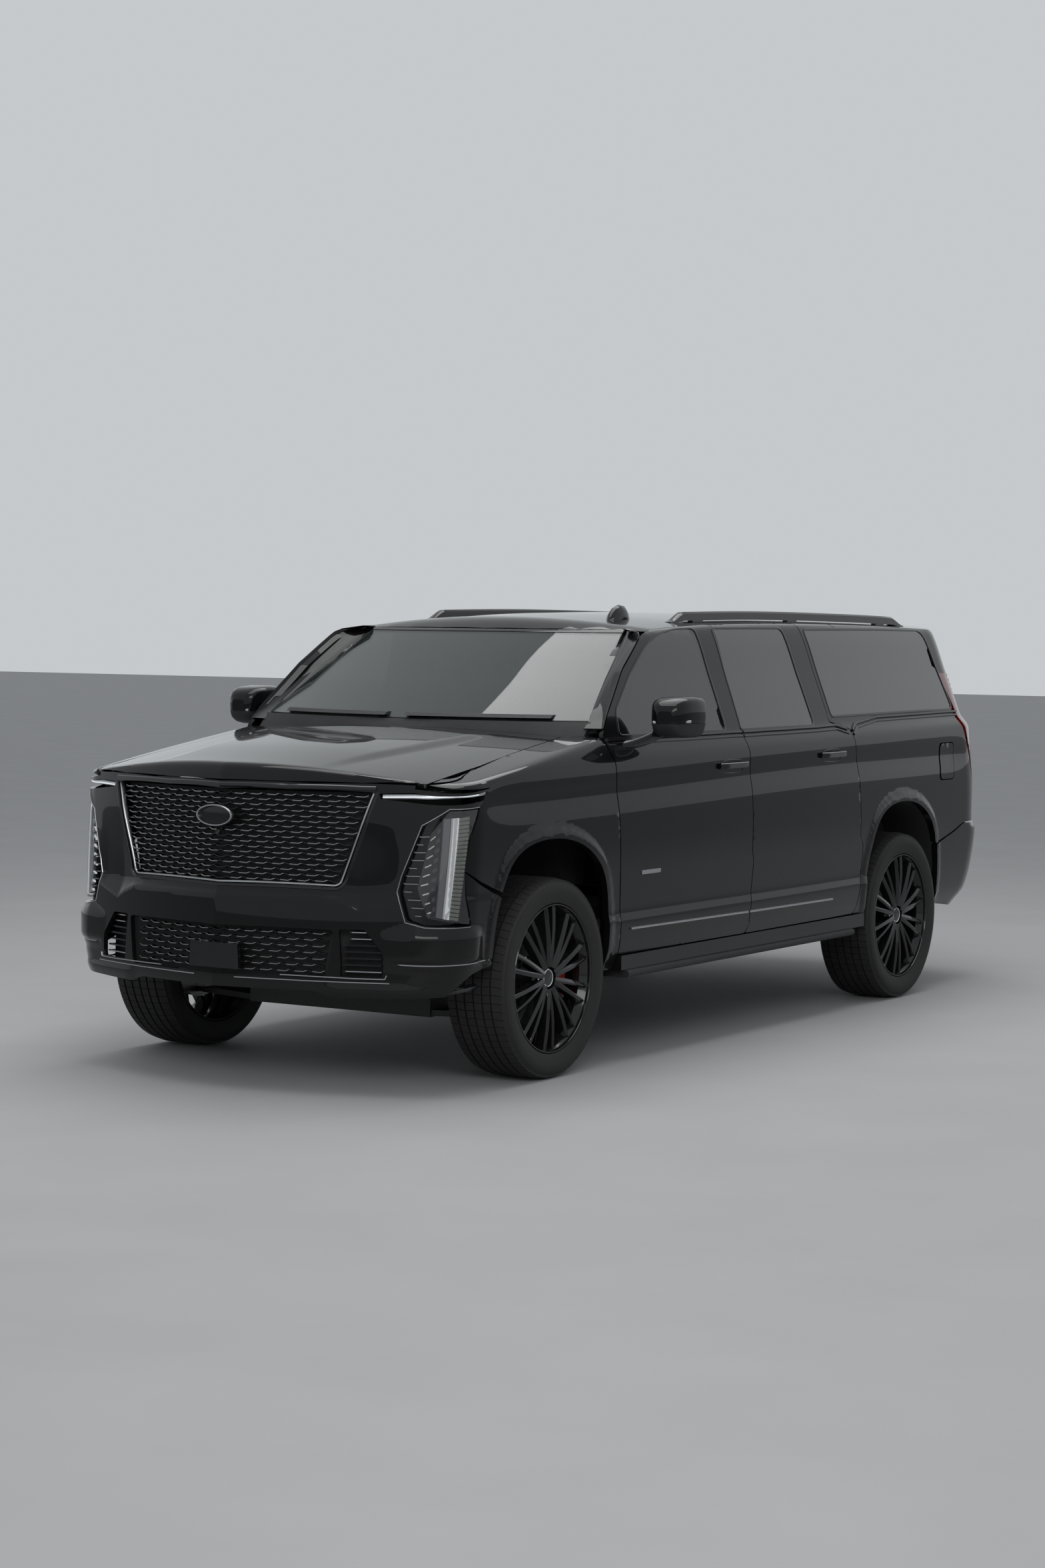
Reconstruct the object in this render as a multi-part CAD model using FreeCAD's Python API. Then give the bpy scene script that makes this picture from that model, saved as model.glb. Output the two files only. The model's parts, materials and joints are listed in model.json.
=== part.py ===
import FreeCAD, Part
import math
import os

# Full-size, long-wheelbase sport utility vehicle, in millimetres.
# +X is the vehicle's left, -Y its front, +Z up, and z = 0 is the road.
# Pieces come in left and right pairs, made once on the left and mirrored.

V = FreeCAD.Vector
UP = V(0, 0, 1)
LEFT = V(1, 0, 0)
BACK = V(0, 1, 0)

# Overall sizes
nose_y = -2887.0          # front face of the bumper lip at the centre line
tail_y = 2886.0           # rear face of the rear bumper at the centre line
body_half = 1029.0        # half width at the wheel arches
wheelbase = 3406.0
front_axle_y = -1872.0
rear_axle_y = front_axle_y + wheelbase

# Wheels
tyre_radius = 419.0
tyre_width = 285.0
rim_radius = 309.0        # outer edge of the rim flange
rim_well_radius = 280.0   # inside of the barrel
rim_seat_radius = 304.0   # where the tyre's bead sits
track_half = 866.0        # wheel's middle plane
rim_face_x = 992.0        # outer face of the spokes
hub_face_x = 975.0        # outer face of the small centre cap
spoke_count = 10          # pairs of blades
spoke_thick = 46.0
disc_radius = 205.0
disc_thick = 32.0
disc_x = 868.0            # brake disc's outer face
hub_radius = 75.0
axle_pin_radius = 26.0
running_gap = 0.3         # free space round a pin or shaft

# Body sections from the bottom up.  Each is a closed outline seen from above.
# height, rise per mm of y, half width, nose, tail, nose corner, tail corner
body_levels = (
    (322.0, 0.0, 900.0, nose_y + 90.0, 2560.0, 260.0, 430.0),
    (394.0, 0.0, 968.0, nose_y + 10.0, 2635.0, 260.0, 430.0),
    (441.0, 0.0, 988.0, nose_y, 2690.0, 260.0, 430.0),
    (500.0, 0.0, 1010.0, nose_y + 3.0, 2775.0, 260.0, 430.0),
    (676.0, 0.0, 1022.0, nose_y + 10.0, 2858.0, 260.0, 430.0),
    (812.0, 0.0, 1026.0, nose_y + 17.0, tail_y, 260.0, 430.0),
    (846.0, 0.0, 1027.0, nose_y + 19.0, 2826.0, 260.0, 430.0),
    (1010.0, 0.0, body_half, nose_y + 30.0, 2828.0, 260.0, 430.0),
    (1304.0, 0.0207, 1021.0, nose_y + 52.0, 2770.0, 250.0, 420.0),
    (1405.0, 0.006, 962.0, nose_y + 125.0, 2735.0, 230.0, 380.0),
    (1466.0, 0.006, 920.0, nose_y + 190.0, 2700.0, 220.0, 360.0),
)
nose_radius = 2564.0      # plan radius of each half of the nose
nose_angle = 5.7          # degrees that the nose is bent back at its middle crease
side_radius = 60000.0     # plan radius of the bowed sides
tail_radius = 3200.0

# Glass house sections: height, half width, windscreen, tail, windscreen plan radius, corners
cabin_levels = (
    (1395.0, 965.0, -1711.0, 2742.0, 1650.0, 105.0, 330.0),
    (1882.0, 811.0, -826.0, 2590.0, 2300.0, 105.0, 300.0),
    (1950.0, 745.0, -690.0, 2520.0, 2400.0, 105.0, 280.0),
)
screen_slope = 1.9        # fore and aft depth of the sloped screen's wall per mm
screen_reach = 120.0
# Roof surface: y, height at the middle, cross radius
roof_sections = (
    (-1800.0, 1860.0, 5200.0),
    (-790.0, 1912.0, 5600.0),
    (-200.0, 1934.0, 6200.0),
    (500.0, 1941.0, 6200.0),
    (1500.0, 1932.0, 6200.0),
    (3000.0, 1896.0, 6200.0),
)

# Bonnet surface: y, height at the middle, cross radius
hood_sections = (
    (-2950.0, 1301.0, 3150.0),
    (-1300.0, 1476.0, 7200.0),
)

# Wall thicknesses and shut lines
door_depth = 110.0        # doors and side walls below the glass
frame_depth = 46.0        # door frames, pillars and roof
nose_depth = 70.0
fender_depth = 60.0
hood_thick = 40.0
gate_depth = 60.0
shut_gap = 6.0
door_slant = 0.14         # rear shut faces run forward going inboard
glass_inset = 1.5
glass_thick = 5.0
glass_gap = 0.3
seat_gap = 0.3

floor_top = 660.0
floor_thick = 60.0
firewall_y = -1430.0      # cabin face of the firewall
firewall_thick = 40.0
cabin_back_y = 2620.0

# Door outlines: y, z on the outer skin
door_bottom = 470.0
door_top = 1904.0
front_door_y = -1324.0
door_split_y = -183.0
rear_door_y = 968.0
front_door = (
    (front_door_y, door_bottom), (front_door_y, 620.0), (front_door_y - 60.0, 1297.0),
    (front_door_y - 74.0, 1415.0), (-1316.0, 1500.0), (-1104.0, 1686.0), (-868.0, 1838.0),
    (-690.0, door_top), (door_split_y, door_top), (door_split_y, door_bottom),
)
rear_door = (
    (door_split_y + shut_gap, door_bottom), (door_split_y + shut_gap, door_top),
    (686.0, door_top), (756.0, 1416.0), (rear_door_y - 40.0, 1380.0),
    (rear_door_y, 1169.0), (rear_door_y, door_bottom),
)
front_window = (
    (-1262.0, 1410.0), (-1244.0, 1512.0), (-1047.0, 1668.0), (-849.0, 1798.0),
    (-690.0, 1846.0), (-540.0, 1868.0), (-372.0, 1870.0), (-322.0, 1410.0),
)
rear_window = (
    (-170.0, 1410.0), (-204.0, 1870.0), (500.0, 1870.0), (577.0, 1410.0),
)
quarter_window = (
    (806.0, 1446.0), (740.0, 1870.0), (2180.0, 1866.0), (2330.0, 1450.0),
)

# Wheel arch opening: y from the axle, z
arch = (
    (-446.0, 200.0), (-447.0, 640.0), (-388.0, 820.0), (-313.0, 940.0), (-150.0, 1001.0),
    (80.0, 1002.0), (262.0, 948.0), (398.0, 836.0), (447.0, 647.0), (446.0, 200.0),
)
arch_lip_width = 45.0
arch_lip_proud = 9.0
front_well_x = 470.0      # inner walls of the wheel wells
rear_well_x = 690.0

# Hood outline seen from above: half width, y
hood_front_half = 838.0
hood_rear_half = 800.0
hood_rear_y = -1503.0
hood_quarter_half = 430.0
hood_quarter_y = -1590.0
hood_middle_y = -1646.0
hood_lip = 1250.0         # lower edge of the hood's front face
hood_hinge_y = -1560.0
hood_hinge_z = 1388.0
hood_hinge_x = 735.0
hood_swing = 86.0         # room in the cowl for the hood's rear edge as it turns

# The roof panel meets the doors and body sides here
roof_half = 769.0
pod_x = 480.0             # antenna pod

# Fender front edge: y, z
fender_front = (
    (-2347.0, 1232.0), (-2414.0, 1158.0), (-2469.0, 1038.0), (-2494.0, 900.0), (-2300.0, 812.0),
)
fender_nose_y = -2660.0

# Front fascia openings: half outline x, z
grille_top = 1213.0
grille_bottom = 833.0
grille_top_half = 655.0
grille_bottom_half = 534.0
grille_frame = 14.0
grille_bar = 7.0
grille_rows = 17
grille_pitch = 74.0       # width of one chevron
grille_rise = 9.0         # height of one chevron
grille_depth = 26.0
intake_top = 664.0
intake_bottom = 468.0
intake_half = 505.0
intake_rows = 6
side_intake = ((535.0, 668.0), (636.0, 668.0), (708.0, 575.0), (708.0, 480.0), (545.0, 480.0))
fin_rows = 7
emblem_z = 1106.0
emblem_half = 88.0
emblem_rise = 42.0
# Lower edge of the front lip, which drops in a step outboard: half outline x, z
lip_edge = ((440.0, 417.0), (500.0, 394.0), (940.0, 405.0), (985.0, 486.0), (1200.0, 486.0))
dam_half = 820.0
lamp_outline = (
    (953.0, 1150.0), (918.0, 1146.0), (833.0, 1081.0), (769.0, 880.0),
    (757.0, 821.0), (790.0, 706.0), (855.0, 687.0), (1100.0, 681.0), (1100.0, 1150.0),
)
strip_outline = ((676.0, 1188.0), (669.0, 1210.0), (1100.0, 1222.0), (1100.0, 1196.0))

# Rear end
gate_bottom = 858.0
gate_top_y = 2500.0
gate_gap = 8.0
gate_half_bottom = 850.0
gate_half_top = 690.0
rear_glass_outline = ((-640.0, 1830.0), (640.0, 1830.0), (730.0, 1420.0), (-730.0, 1420.0))
tail_lamp_outline = ((856.5, 872.0), (925.0, 872.0), (850.0, 1640.0), (745.0, 1640.0))
bumper_seam = ((1960.0, 754.0), (2330.0, 846.0), (3100.0, 846.0))

# Roof spoiler: y, z
spoiler_outline = (
    (2522.0, 1906.0), (2668.0, 1898.0), (2690.0, 1872.0), (2680.0, 1858.0), (2560.0, 1858.0),
    (2530.0, 1880.0),
)
spoiler_half = 610.0

# Door handles: front end, rear end, height
handle_places = {"front": (-490.0, -226.0, 1250.0), "rear": (538.0, 802.0, 1265.0)}
handle_rise = 26.0
handle_reach = 24.0

# Tow receiver
receiver_out = 32.0
receiver_in = 25.5
receiver_z = 487.0
receiver_end = 2720.0
tow_pin_radius = 7.95
tow_pin_y = 2668.0

# Running gear
rail_inner = 395.0
rail_outer = 485.0
rail_low = 445.0
lift_pad_drop = 8.0
sill_low = 400.0
sill_inner = 800.0
board_low = 368.0
board_outer = 1022.0
board_inner = 860.0
arm_thick = 25.0


def solid_of(shape):
    """The largest solid of a result, without slivers."""
    return max(shape.Solids, key=lambda s: s.Volume)


def box(x0, x1, y0, y1, z0, z1):
    return Part.makeBox(x1 - x0, y1 - y0, z1 - z0, V(x0, y0, z0))


def mirrored(shape):
    return shape.mirror(V(0, 0, 0), LEFT)


def both(shape):
    return Part.makeCompound([shape, mirrored(shape)])


def face_of(points):
    return Part.Face(Part.makePolygon(list(points) + [points[0]]))


def prism_x(outline, x0, x1):
    """A y, z outline carried across the car from x0 to x1."""
    return face_of([V(x0, y, z) for y, z in outline]).extrude(V(x1 - x0, 0, 0))


def prism_y(outline, y0, y1):
    """An x, z outline carried along the car from y0 to y1."""
    return face_of([V(x, y0, z) for x, z in outline]).extrude(V(0, y1 - y0, 0))


def prism_z(outline, z0, z1):
    """An x, y outline carried upwards from z0 to z1."""
    return face_of([V(x, y, z0) for x, y in outline]).extrude(V(0, 0, z1 - z0))


def slanted_prism(outline, moved, x_out, x_in, slant):
    """A y, z outline whose points in moved run forward by slant going inboard."""
    outer = [V(x_out, y, z) for y, z in outline]
    shift = -slant * (x_out - x_in)
    inner = [V(x_in, y + (shift if (y, z) in moved else 0.0), z) for y, z in outline]
    wires = [Part.makePolygon(ring + [ring[0]]) for ring in (outer, inner)]
    return Part.makeLoft(wires, True, True)


def cylinder_x(radius, x0, x1, y, z):
    return Part.makeCylinder(radius, x1 - x0, V(x0, y, z), LEFT)


def cylinder_z(radius, z0, z1, x, y):
    return Part.makeCylinder(radius, z1 - z0, V(x, y, z0), UP)


def touching_circle(a, ra, b, rb, pick):
    """Centre at distance ra from a and rb from b, the one that pick prefers."""
    d = (b - a).Length
    along = (ra * ra - rb * rb + d * d) / (2 * d)
    across = math.sqrt(ra * ra - along * along)
    u = (b - a) * (1 / d)
    n = V(-u.y, u.x, 0)
    return min((a + u * along + n * across, a + u * along - n * across), key=pick)


def arc_round(centre, start, end):
    """The short arc from start to end about centre."""
    middle = (start + end) * 0.5 - centre
    middle = centre + middle * ((start - centre).Length / middle.Length)
    return Part.Arc(start, middle, end).toShape()


def plan_outline(height, rise, half, front, back, front_r, back_r, nose_arc, bend):
    """One closed section: bent nose, bowed sides, round corners and bowed tail."""
    bend = math.radians(bend)
    nose_c = V(-nose_arc * math.sin(bend), front + nose_arc * math.cos(bend), 0)
    side_c = V(half - side_radius, 0, 0)
    tail_c = V(0, back - tail_radius, 0)
    front_c = touching_circle(nose_c, nose_arc - front_r, side_c, side_radius - front_r,
                              lambda p: p.y)
    back_c = touching_circle(side_c, side_radius - back_r, tail_c, tail_radius - back_r,
                             lambda p: -p.y)
    joins = []
    for centre, corner, radius in ((nose_c, front_c, front_r), (side_c, front_c, front_r),
                                   (side_c, back_c, back_r), (tail_c, back_c, back_r)):
        out = corner - centre
        joins.append(corner + out * (radius / out.Length))
    stops = [V(0, front, 0)] + joins + [V(0, back, 0)]
    centres = (nose_c, front_c, side_c, back_c, tail_c)
    right = [arc_round(c, p, q) for c, p, q in zip(centres, stops, stops[1:])]
    flip = [V(-p.x, p.y, 0) for p in reversed(stops)]
    flip_c = [V(-c.x, c.y, 0) for c in reversed(centres)]
    left = [arc_round(c, p, q) for c, p, q in zip(flip_c, flip, flip[1:])]
    wire = Part.Wire(right + left)
    wire.rotate(V(0, 0, 0), LEFT, math.degrees(math.atan(rise)))
    wire.translate(V(0, 0, height))
    return wire


def space_above(sections, drop, reach):
    """Everything above a crowned surface, lowered by drop."""
    wires = []
    for y, top, radius in sections:
        edge = top - drop - (radius - math.sqrt(radius ** 2 - reach ** 2))
        a = V(-reach, y, edge)
        b = V(reach, y, edge)
        arc = Part.Arc(a, V(0, y, top - drop), b).toShape()
        lid = Part.makePolygon([b, V(reach, y, 2300), V(-reach, y, 2300), a])
        wires.append(Part.Wire([arc] + lid.Edges))
    return Part.makeLoft(wires, True, True)


def lower_form(inset):
    """The body's sides up to the belt, shrunk by inset."""
    wires = []
    for height, rise, half, front, back, front_r, back_r in body_levels:
        wires.append(plan_outline(height, rise, half - inset, front + inset, back - inset,
                                  front_r, back_r, nose_radius, nose_angle))
    return Part.makeLoft(wires, True, True)


def lower_body(inset):
    """The closed body below the glass with the bonnet's crown, shrunk by inset."""
    return lower_form(inset).cut(space_above(hood_sections, inset, 1150.0))


def glass_house(inset, side_only=False):
    """The closed cabin above the belt, shrunk by inset; side_only leaves it long in front."""
    wires = []
    reach = -screen_reach if side_only else screen_slope * inset
    for height, half, front, back, arc, front_r, back_r in cabin_levels:
        wires.append(plan_outline(height, 0.0, half - inset, front + reach,
                                  back - inset, front_r, back_r, arc, 0.0))
    return Part.makeLoft(wires, True, True).cut(space_above(roof_sections, inset, 1200.0))


print("body forms")
body = lower_body(0)
house = glass_house(0)
outer = body.fuse(house)
lower_room = lower_form(door_depth)
upper_room = glass_house(frame_depth)
side_room = glass_house(frame_depth, True)


def well_at(axle_y, inner_x):
    moved = prism_x([(axle_y + y, z) for y, z in arch], inner_x, 1200)
    return both(moved)


front_wells = well_at(front_axle_y, front_well_x)
rear_wells = well_at(rear_axle_y, rear_well_x)


def hood_plan(gap):
    """Hood outline seen from above, grown by gap."""
    right = (
        (0.0, hood_middle_y + gap), (hood_quarter_half, hood_quarter_y + gap),
        (hood_rear_half + gap, hood_rear_y + gap), (hood_front_half + gap, -2600.0),
        (hood_front_half + gap, nose_y - 50),
    )
    return right + tuple((-x, y) for x, y in reversed(right[1:]))


def shrunk(outline, gap):
    """The outline's points moved towards its middle by about gap."""
    cy = sum(p[0] for p in outline) / len(outline)
    cz = sum(p[1] for p in outline) / len(outline)
    result = []
    for y, z in outline:
        length = math.hypot(y - cy, z - cz)
        result.append((y - gap * 1.5 * (y - cy) / length, z - gap * 1.5 * (z - cz) / length))
    return tuple(result)


parts = {}

print("glass")
pane_band = glass_house(glass_inset).cut(glass_house(glass_inset + glass_thick))
side_pane_band = glass_house(glass_inset).cut(glass_house(glass_inset + glass_thick, True))
window_x = (600.0, 1100.0)
window_cut = {}
panes = {}
for name, outline in (("front", front_window), ("rear", rear_window), ("quarter", quarter_window)):
    window_cut[name] = prism_x(outline, *window_x)
    roof_side = roof_half + (glass_gap if name == "quarter" else shut_gap)
    pane = side_pane_band.common(prism_x(shrunk(outline, glass_gap), *window_x))
    panes[name] = solid_of(pane.cut(box(0, roof_side, -1400, 3100, 1700, 2200)))
screen_outline = ((-690.0, 1860.0), (690.0, 1860.0), (846.0, 1472.0), (-846.0, 1472.0))
screen_cut = prism_y(screen_outline, -1900.0, -560.0)
screen_fit = prism_y(shrunk(screen_outline, glass_gap), -1900.0, -560.0)
parts["windshield"] = solid_of(pane_band.common(screen_fit))
gate_glass_cut = prism_y(rear_glass_outline, 2300.0, 3000.0)
gate_glass_fit = prism_y(shrunk(rear_glass_outline, glass_gap), 2300.0, 3000.0)
parts["rear_glass"] = solid_of(pane_band.common(gate_glass_fit))
parts["quarter_glasses"] = both(panes["quarter"])

print("doors")
side_wall = body.cut(lower_room).cut(side_room).fuse(house.cut(side_room).cut(lower_room))
door_in = 640.0
door_out = 1100.0
pin_radius = 6.0
pin_x = 1005.0
pin_rise = 60.0
pin_low = 440.0
hinge_places = {"front": front_door_y + 34.0, "rear": door_split_y + shut_gap + 90.0}
sail_outline = ((700.0, 1388.0), (931.0, 1388.0), (889.0, 1521.0), (700.0, 1521.0))


def door_prism(outline, moved):
    """The space between shut faces; those at the moved points slant."""
    inner = slanted_prism(outline, moved, body_half, door_in, door_slant)
    return inner.fuse(prism_x(outline, body_half - 0.01, door_out))


front_moved = ((door_split_y, door_top), (door_split_y, door_bottom))
side_wall = side_wall.cut(box(0, roof_half + shut_gap, -1400, 800, 1700, 2100))
door_front = side_wall.common(door_prism(front_door, front_moved)).cut(window_cut["front"])
door_rear = side_wall.common(door_prism(rear_door, rear_door)).cut(window_cut["rear"])
# The corners ahead of the hinge pins swing inwards, so they are thinner
door_front = door_front.cut(prism_y(sail_outline, -1430, -1272))
rear_corner = box(700, pin_x, -240, -60, 1700, 1910)
door_rear = door_rear.cut(rear_corner.cut(cylinder_z(228.0, 1700, 1910, pin_x, hinge_places["rear"])))
doorway_outline = (
    (front_door_y - shut_gap, door_bottom - shut_gap), (front_door_y - shut_gap, 620.0),
    (front_door_y - 60.0 - shut_gap, 1297.0), (front_door_y - 74.0 - shut_gap, 1418.0),
    (-1322.0, 1504.0), (-1108.0, 1692.0), (-872.0, 1844.0), (-692.0, door_top + shut_gap),
    (694.0, door_top + shut_gap), (764.0, 1422.0),
    (rear_door_y - 34.0, 1387.0), (rear_door_y + shut_gap, 1170.0),
    (rear_door_y + shut_gap, door_bottom - shut_gap),
)
doorway = door_prism(doorway_outline, doorway_outline[8:])
doorway = doorway.cut(glass_house(frame_depth + shut_gap, True))
doorway = doorway.cut(box(0, roof_half, -1400, 800, 1700, 2100))

# Each door turns on a pin that stands on the sill
pins = []
for y in hinge_places.values():
    pins.append(cylinder_z(pin_radius, pin_low, door_bottom + pin_rise, pin_x, y))
bores = []
for y in hinge_places.values():
    bores.append(cylinder_z(pin_radius + running_gap, pin_low, door_bottom + pin_rise + 2, pin_x, y))


def handle_at(start, end, z):
    """A pull handle that stands out from the door skin between start and end."""
    skin = body_half - 14.0
    out = body_half + handle_reach - 6.0
    outline = ((skin, start), (out - 8, start + 26), (out, start + 60), (out, end - 60),
               (out - 8, end - 26), (skin, end))
    return prism_z(outline, z - handle_rise / 2, z + handle_rise / 2)


parts["door_front_left"] = solid_of(door_front.cut(bores[0]).fuse(handle_at(*handle_places["front"])))
parts["door_rear_left"] = solid_of(door_rear.cut(bores[1]).fuse(handle_at(*handle_places["rear"])))
parts["glass_front_left"] = panes["front"]
parts["glass_rear_left"] = panes["rear"]

print("mirrors")
mirror_box = box(1040, 1225, -1214, -990, 1398, 1580)
mirror_box = mirror_box.makeFillet(44, [e for e in mirror_box.Edges if e.Length > 200])
stalk = prism_x(((-1338, 1322), (-1338, 1388), (-1190, 1420), (-1120, 1400), (-1200, 1350)), 900, 1105)
parts["mirror_left"] = solid_of(mirror_box.fuse(stalk).cut(outer))

print("sides and roof")


def skin_x(y, z):
    """How far out the left skin lies at one y and z."""
    probe = body.common(Part.makeLine(V(500, y, z), V(1300, y, z)))
    return max(v.X for v in probe.Vertexes)


lip_band = lower_form(-arch_lip_proud).cut(lower_form(2.0))


def arch_lip(axle_y):
    """The raised lip round one left wheel arch."""
    ring = [prism_x([(axle_y + y, z) for y, z in outline], 800, 1200)
            for outline in (shrunk(arch, -arch_lip_width / 1.5), arch)]
    return lip_band.common(ring[0].cut(ring[1]).common(box(800, 1200, -2440, 2200, 500, 1200)))


gate_rim = ((gate_half_top, 2100.0), (gate_half_top, door_top - 40), (gate_half_bottom, gate_bottom))


def gate_outline(gap):
    right = [(x + gap, z) for x, z in gate_rim[:2]]
    right.append((gate_half_bottom + gap, gate_bottom - gap))
    return right + [(-x, z) for x, z in reversed(right)]


gate_space = prism_y(gate_outline(shut_gap), gate_top_y - gate_gap, 3100)
gate_zone = prism_y(gate_outline(0.0), gate_top_y, 3100)
tail_wall = outer.cut(lower_room.fuse(upper_room)).cut(rear_wells).cut(gate_space)
body_wall = tail_wall.cut(doorway).common(box(0, 1200, -100, 3100, 300, 2100))
side_outline = [
    (-100.0, sill_low), (-100.0, door_bottom - shut_gap), (rear_door_y - 40.0, door_bottom - shut_gap),
    (rear_door_y - 90.0, 1390.0), (640.0, 1390.0), (640.0, 2100.0), (3000.0, 2100.0), (3000.0, 852.0),
    (2330.0, 852.0), (1960.0, 760.0),
    (1960.0, sill_low),
]
lamp_prism = prism_y(tail_lamp_outline, 2420.0, 3100.0)
fuel_outline = ((1998.0, 1090.0), (2178.0, 1090.0), (2178.0, 1276.0), (1998.0, 1276.0))
fuel_gap = 4.0
fuel_hinge_gap = 7.0      # room for the inner corner at the hinge
fuel_thick = 18.0
grown_fuel = tuple((y + math.copysign(fuel_gap, y - 2088), z + math.copysign(fuel_gap, z - 1183))
                   for y, z in fuel_outline)
quarter = body_wall.common(prism_x(side_outline, 500.0, 1200.0)).cut(window_cut["quarter"])
quarter = quarter.cut(lamp_prism).cut(box(0, roof_half, -200, 3100, 1700, 2200))
quarter = solid_of(quarter)
sill = box(sill_inner, 1001, -1318, 1090, sill_low, door_bottom - shut_gap)
pin_seat = [box(960, 1013, y - 14, y + 14, sill_low, door_bottom - shut_gap) for y in hinge_places.values()]
pillar_outline = (
    (sill_inner, 440.0), (850.0, 440.0), (850.0, 1300.0), (748.0, 1835.0), (700.0, 1835.0),
    (sill_inner, 1300.0),
)
pillar = prism_y(pillar_outline, -300.0, -168.0)
rear_lip = arch_lip(rear_axle_y)
bumper_outline = [(1960.0, 300.0)] + list(bumper_seam) + [(3100.0, 300.0)]
bumper_zone = prism_x(bumper_outline, -1200, 1200)
side = quarter.fuse([sill, pillar, rear_lip.cut(bumper_zone)] + pin_seat + pins)
fuel_pin_y = fuel_outline[0][0] + 8.0
fuel_pin_radius = 3.0
fuel_pin_x = skin_x(fuel_pin_y, 1183.0) - 7.0
side_right = solid_of(side)
fuel_pocket = prism_x(grown_fuel, 940.0, 1200.0)
fuel_front = fuel_outline[0][0] - fuel_hinge_gap
fuel_low = fuel_outline[0][1] - fuel_gap
fuel_high = fuel_outline[2][1] + fuel_gap
fuel_pocket = fuel_pocket.fuse(box(940, 1200, fuel_front, fuel_pin_y, fuel_low, fuel_high))
fuel_pin = cylinder_z(fuel_pin_radius, 1080.0, 1286.0, fuel_pin_x, fuel_pin_y)
side_left = solid_of(side_right.cut(fuel_pocket).fuse(fuel_pin))
fuel_plate = body.cut(lower_body(fuel_thick)).common(prism_x(fuel_outline, 900.0, 1200.0))
fuel_bore = cylinder_z(fuel_pin_radius + running_gap, 1080.0, 1286.0, fuel_pin_x, fuel_pin_y)
parts["fuel_door"] = solid_of(fuel_plate.cut(fuel_bore))
parts["body_side_left"] = side_left
parts["body_side_right"] = mirrored(side_right)

ring = house.cut(upper_room).cut(both(doorway)).cut(gate_space).cut(screen_cut)
top_zone = box(-roof_half, roof_half, -700, 2600, 1700, 2100)
screen_zone = prism_x(((-1800, 1380), (-1310, 1380), (-600, 1800), (-600, 2100), (-1800, 2100)), -1100, 1100)
ring = ring.common(top_zone.fuse(screen_zone))
pillar_foot = both(box(868, 1100, -1430, -1200, 1370, 1490))
swing_room = both(cylinder_x(hood_swing, 220, 650, hood_hinge_y, hood_hinge_z))
roof = ring.cut(prism_z(hood_plan(shut_gap), hood_lip, 1800)).cut(pillar_foot)
roof = solid_of(roof.cut(swing_room))
hinge_z = 1901.0
hinge_y = gate_top_y + 6.0
gate_pin_radius = 5.0
lug_half = 15.0
lug_x = 180.0
for side_x in (-lug_x, lug_x):
    lug = box(side_x - lug_half, side_x + lug_half, gate_top_y - 40, hinge_y, hinge_z - 10, hinge_z + 2)
    eye = cylinder_x(8.0, side_x - lug_half, side_x + lug_half, hinge_y, hinge_z)
    pin = cylinder_x(gate_pin_radius, side_x - 38, side_x + 38, hinge_y, hinge_z)
    roof = roof.fuse([lug, eye, pin])
parts["roof"] = solid_of(roof)

print("liftgate")
gate_inner = lower_body(gate_depth).fuse(glass_house(gate_depth))
gate = outer.cut(gate_inner).common(gate_zone).cut(gate_glass_cut)
for side_x in (-lug_x, lug_x):
    slot = box(side_x - lug_half - 3, side_x + lug_half + 3, gate_top_y - 20, hinge_y + 14, hinge_z - 16, 2000)
    bore = cylinder_x(gate_pin_radius + running_gap, side_x - 40, side_x + 40, hinge_y, hinge_z)
    gate = gate.cut(slot).cut(bore)
spoiler = prism_x(spoiler_outline, -spoiler_half, spoiler_half)
spoiler = spoiler.cut(space_above(roof_sections, -4.0, 1200.0)).cut(gate_inner)
parts["liftgate"] = solid_of(gate.fuse(spoiler))
lamp = outer.cut(lower_body(50).fuse(glass_house(50))).common(lamp_prism)
parts["tail_lamps"] = both(solid_of(lamp))

print("front")
hood_skin = body.cut(lower_body(hood_thick)).common(prism_z(hood_plan(0.0), hood_lip, 1800))
hood_skin = hood_skin.cut(glass_house(-shut_gap))
hood_skin = hood_skin.cut(box(-215, 215, -1664, -1500, 1300, 1447))
neck_low = 1318.0
hood_lugs = []
for side_x in (-hood_hinge_x, hood_hinge_x):
    slot = box(side_x - lug_half - 5, side_x + lug_half + 5, hood_hinge_y - 14, -1400, 1300, hood_hinge_z + 11)
    bore = cylinder_x(gate_pin_radius + running_gap, side_x - 36, side_x + 36, hood_hinge_y, hood_hinge_z)
    hood_skin = hood_skin.cut(slot).cut(bore)
    hood_lugs += [
        box(side_x - lug_half, side_x + lug_half, hood_hinge_y - 8, hood_hinge_y + 8, neck_low, hood_hinge_z),
        box(side_x - lug_half, side_x + lug_half, hood_hinge_y - 8, firewall_y - 30, neck_low, neck_low + 12),
        cylinder_x(8.0, side_x - lug_half, side_x + lug_half, hood_hinge_y, hood_hinge_z),
        cylinder_x(gate_pin_radius, side_x - 34, side_x + 34, hood_hinge_y, hood_hinge_z),
    ]
parts["hood"] = solid_of(hood_skin)
hood_space = prism_z(hood_plan(shut_gap), hood_lip - shut_gap, 1800)
fender_wall = body.cut(lower_body(fender_depth)).cut(hood_space).cut(house).cut(front_wells).cut(doorway)
fender_outline = [(fender_nose_y, 1500.0), (fender_nose_y, 1232.0)] + list(fender_front) + [
    (-1330.0, 812.0), (-1330.0, sill_low), (-1324.0, sill_low), (-1324.0, 1500.0)]
fender = fender_wall.common(prism_x(fender_outline, 800.0, 1200.0))
lower_fender = body.cut(lower_room).cut(front_wells).cut(doorway)
lower_fender = lower_fender.common(box(600, 1200, -1450, -1318.3, sill_low, 812))
front_lip = arch_lip(front_axle_y)
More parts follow.
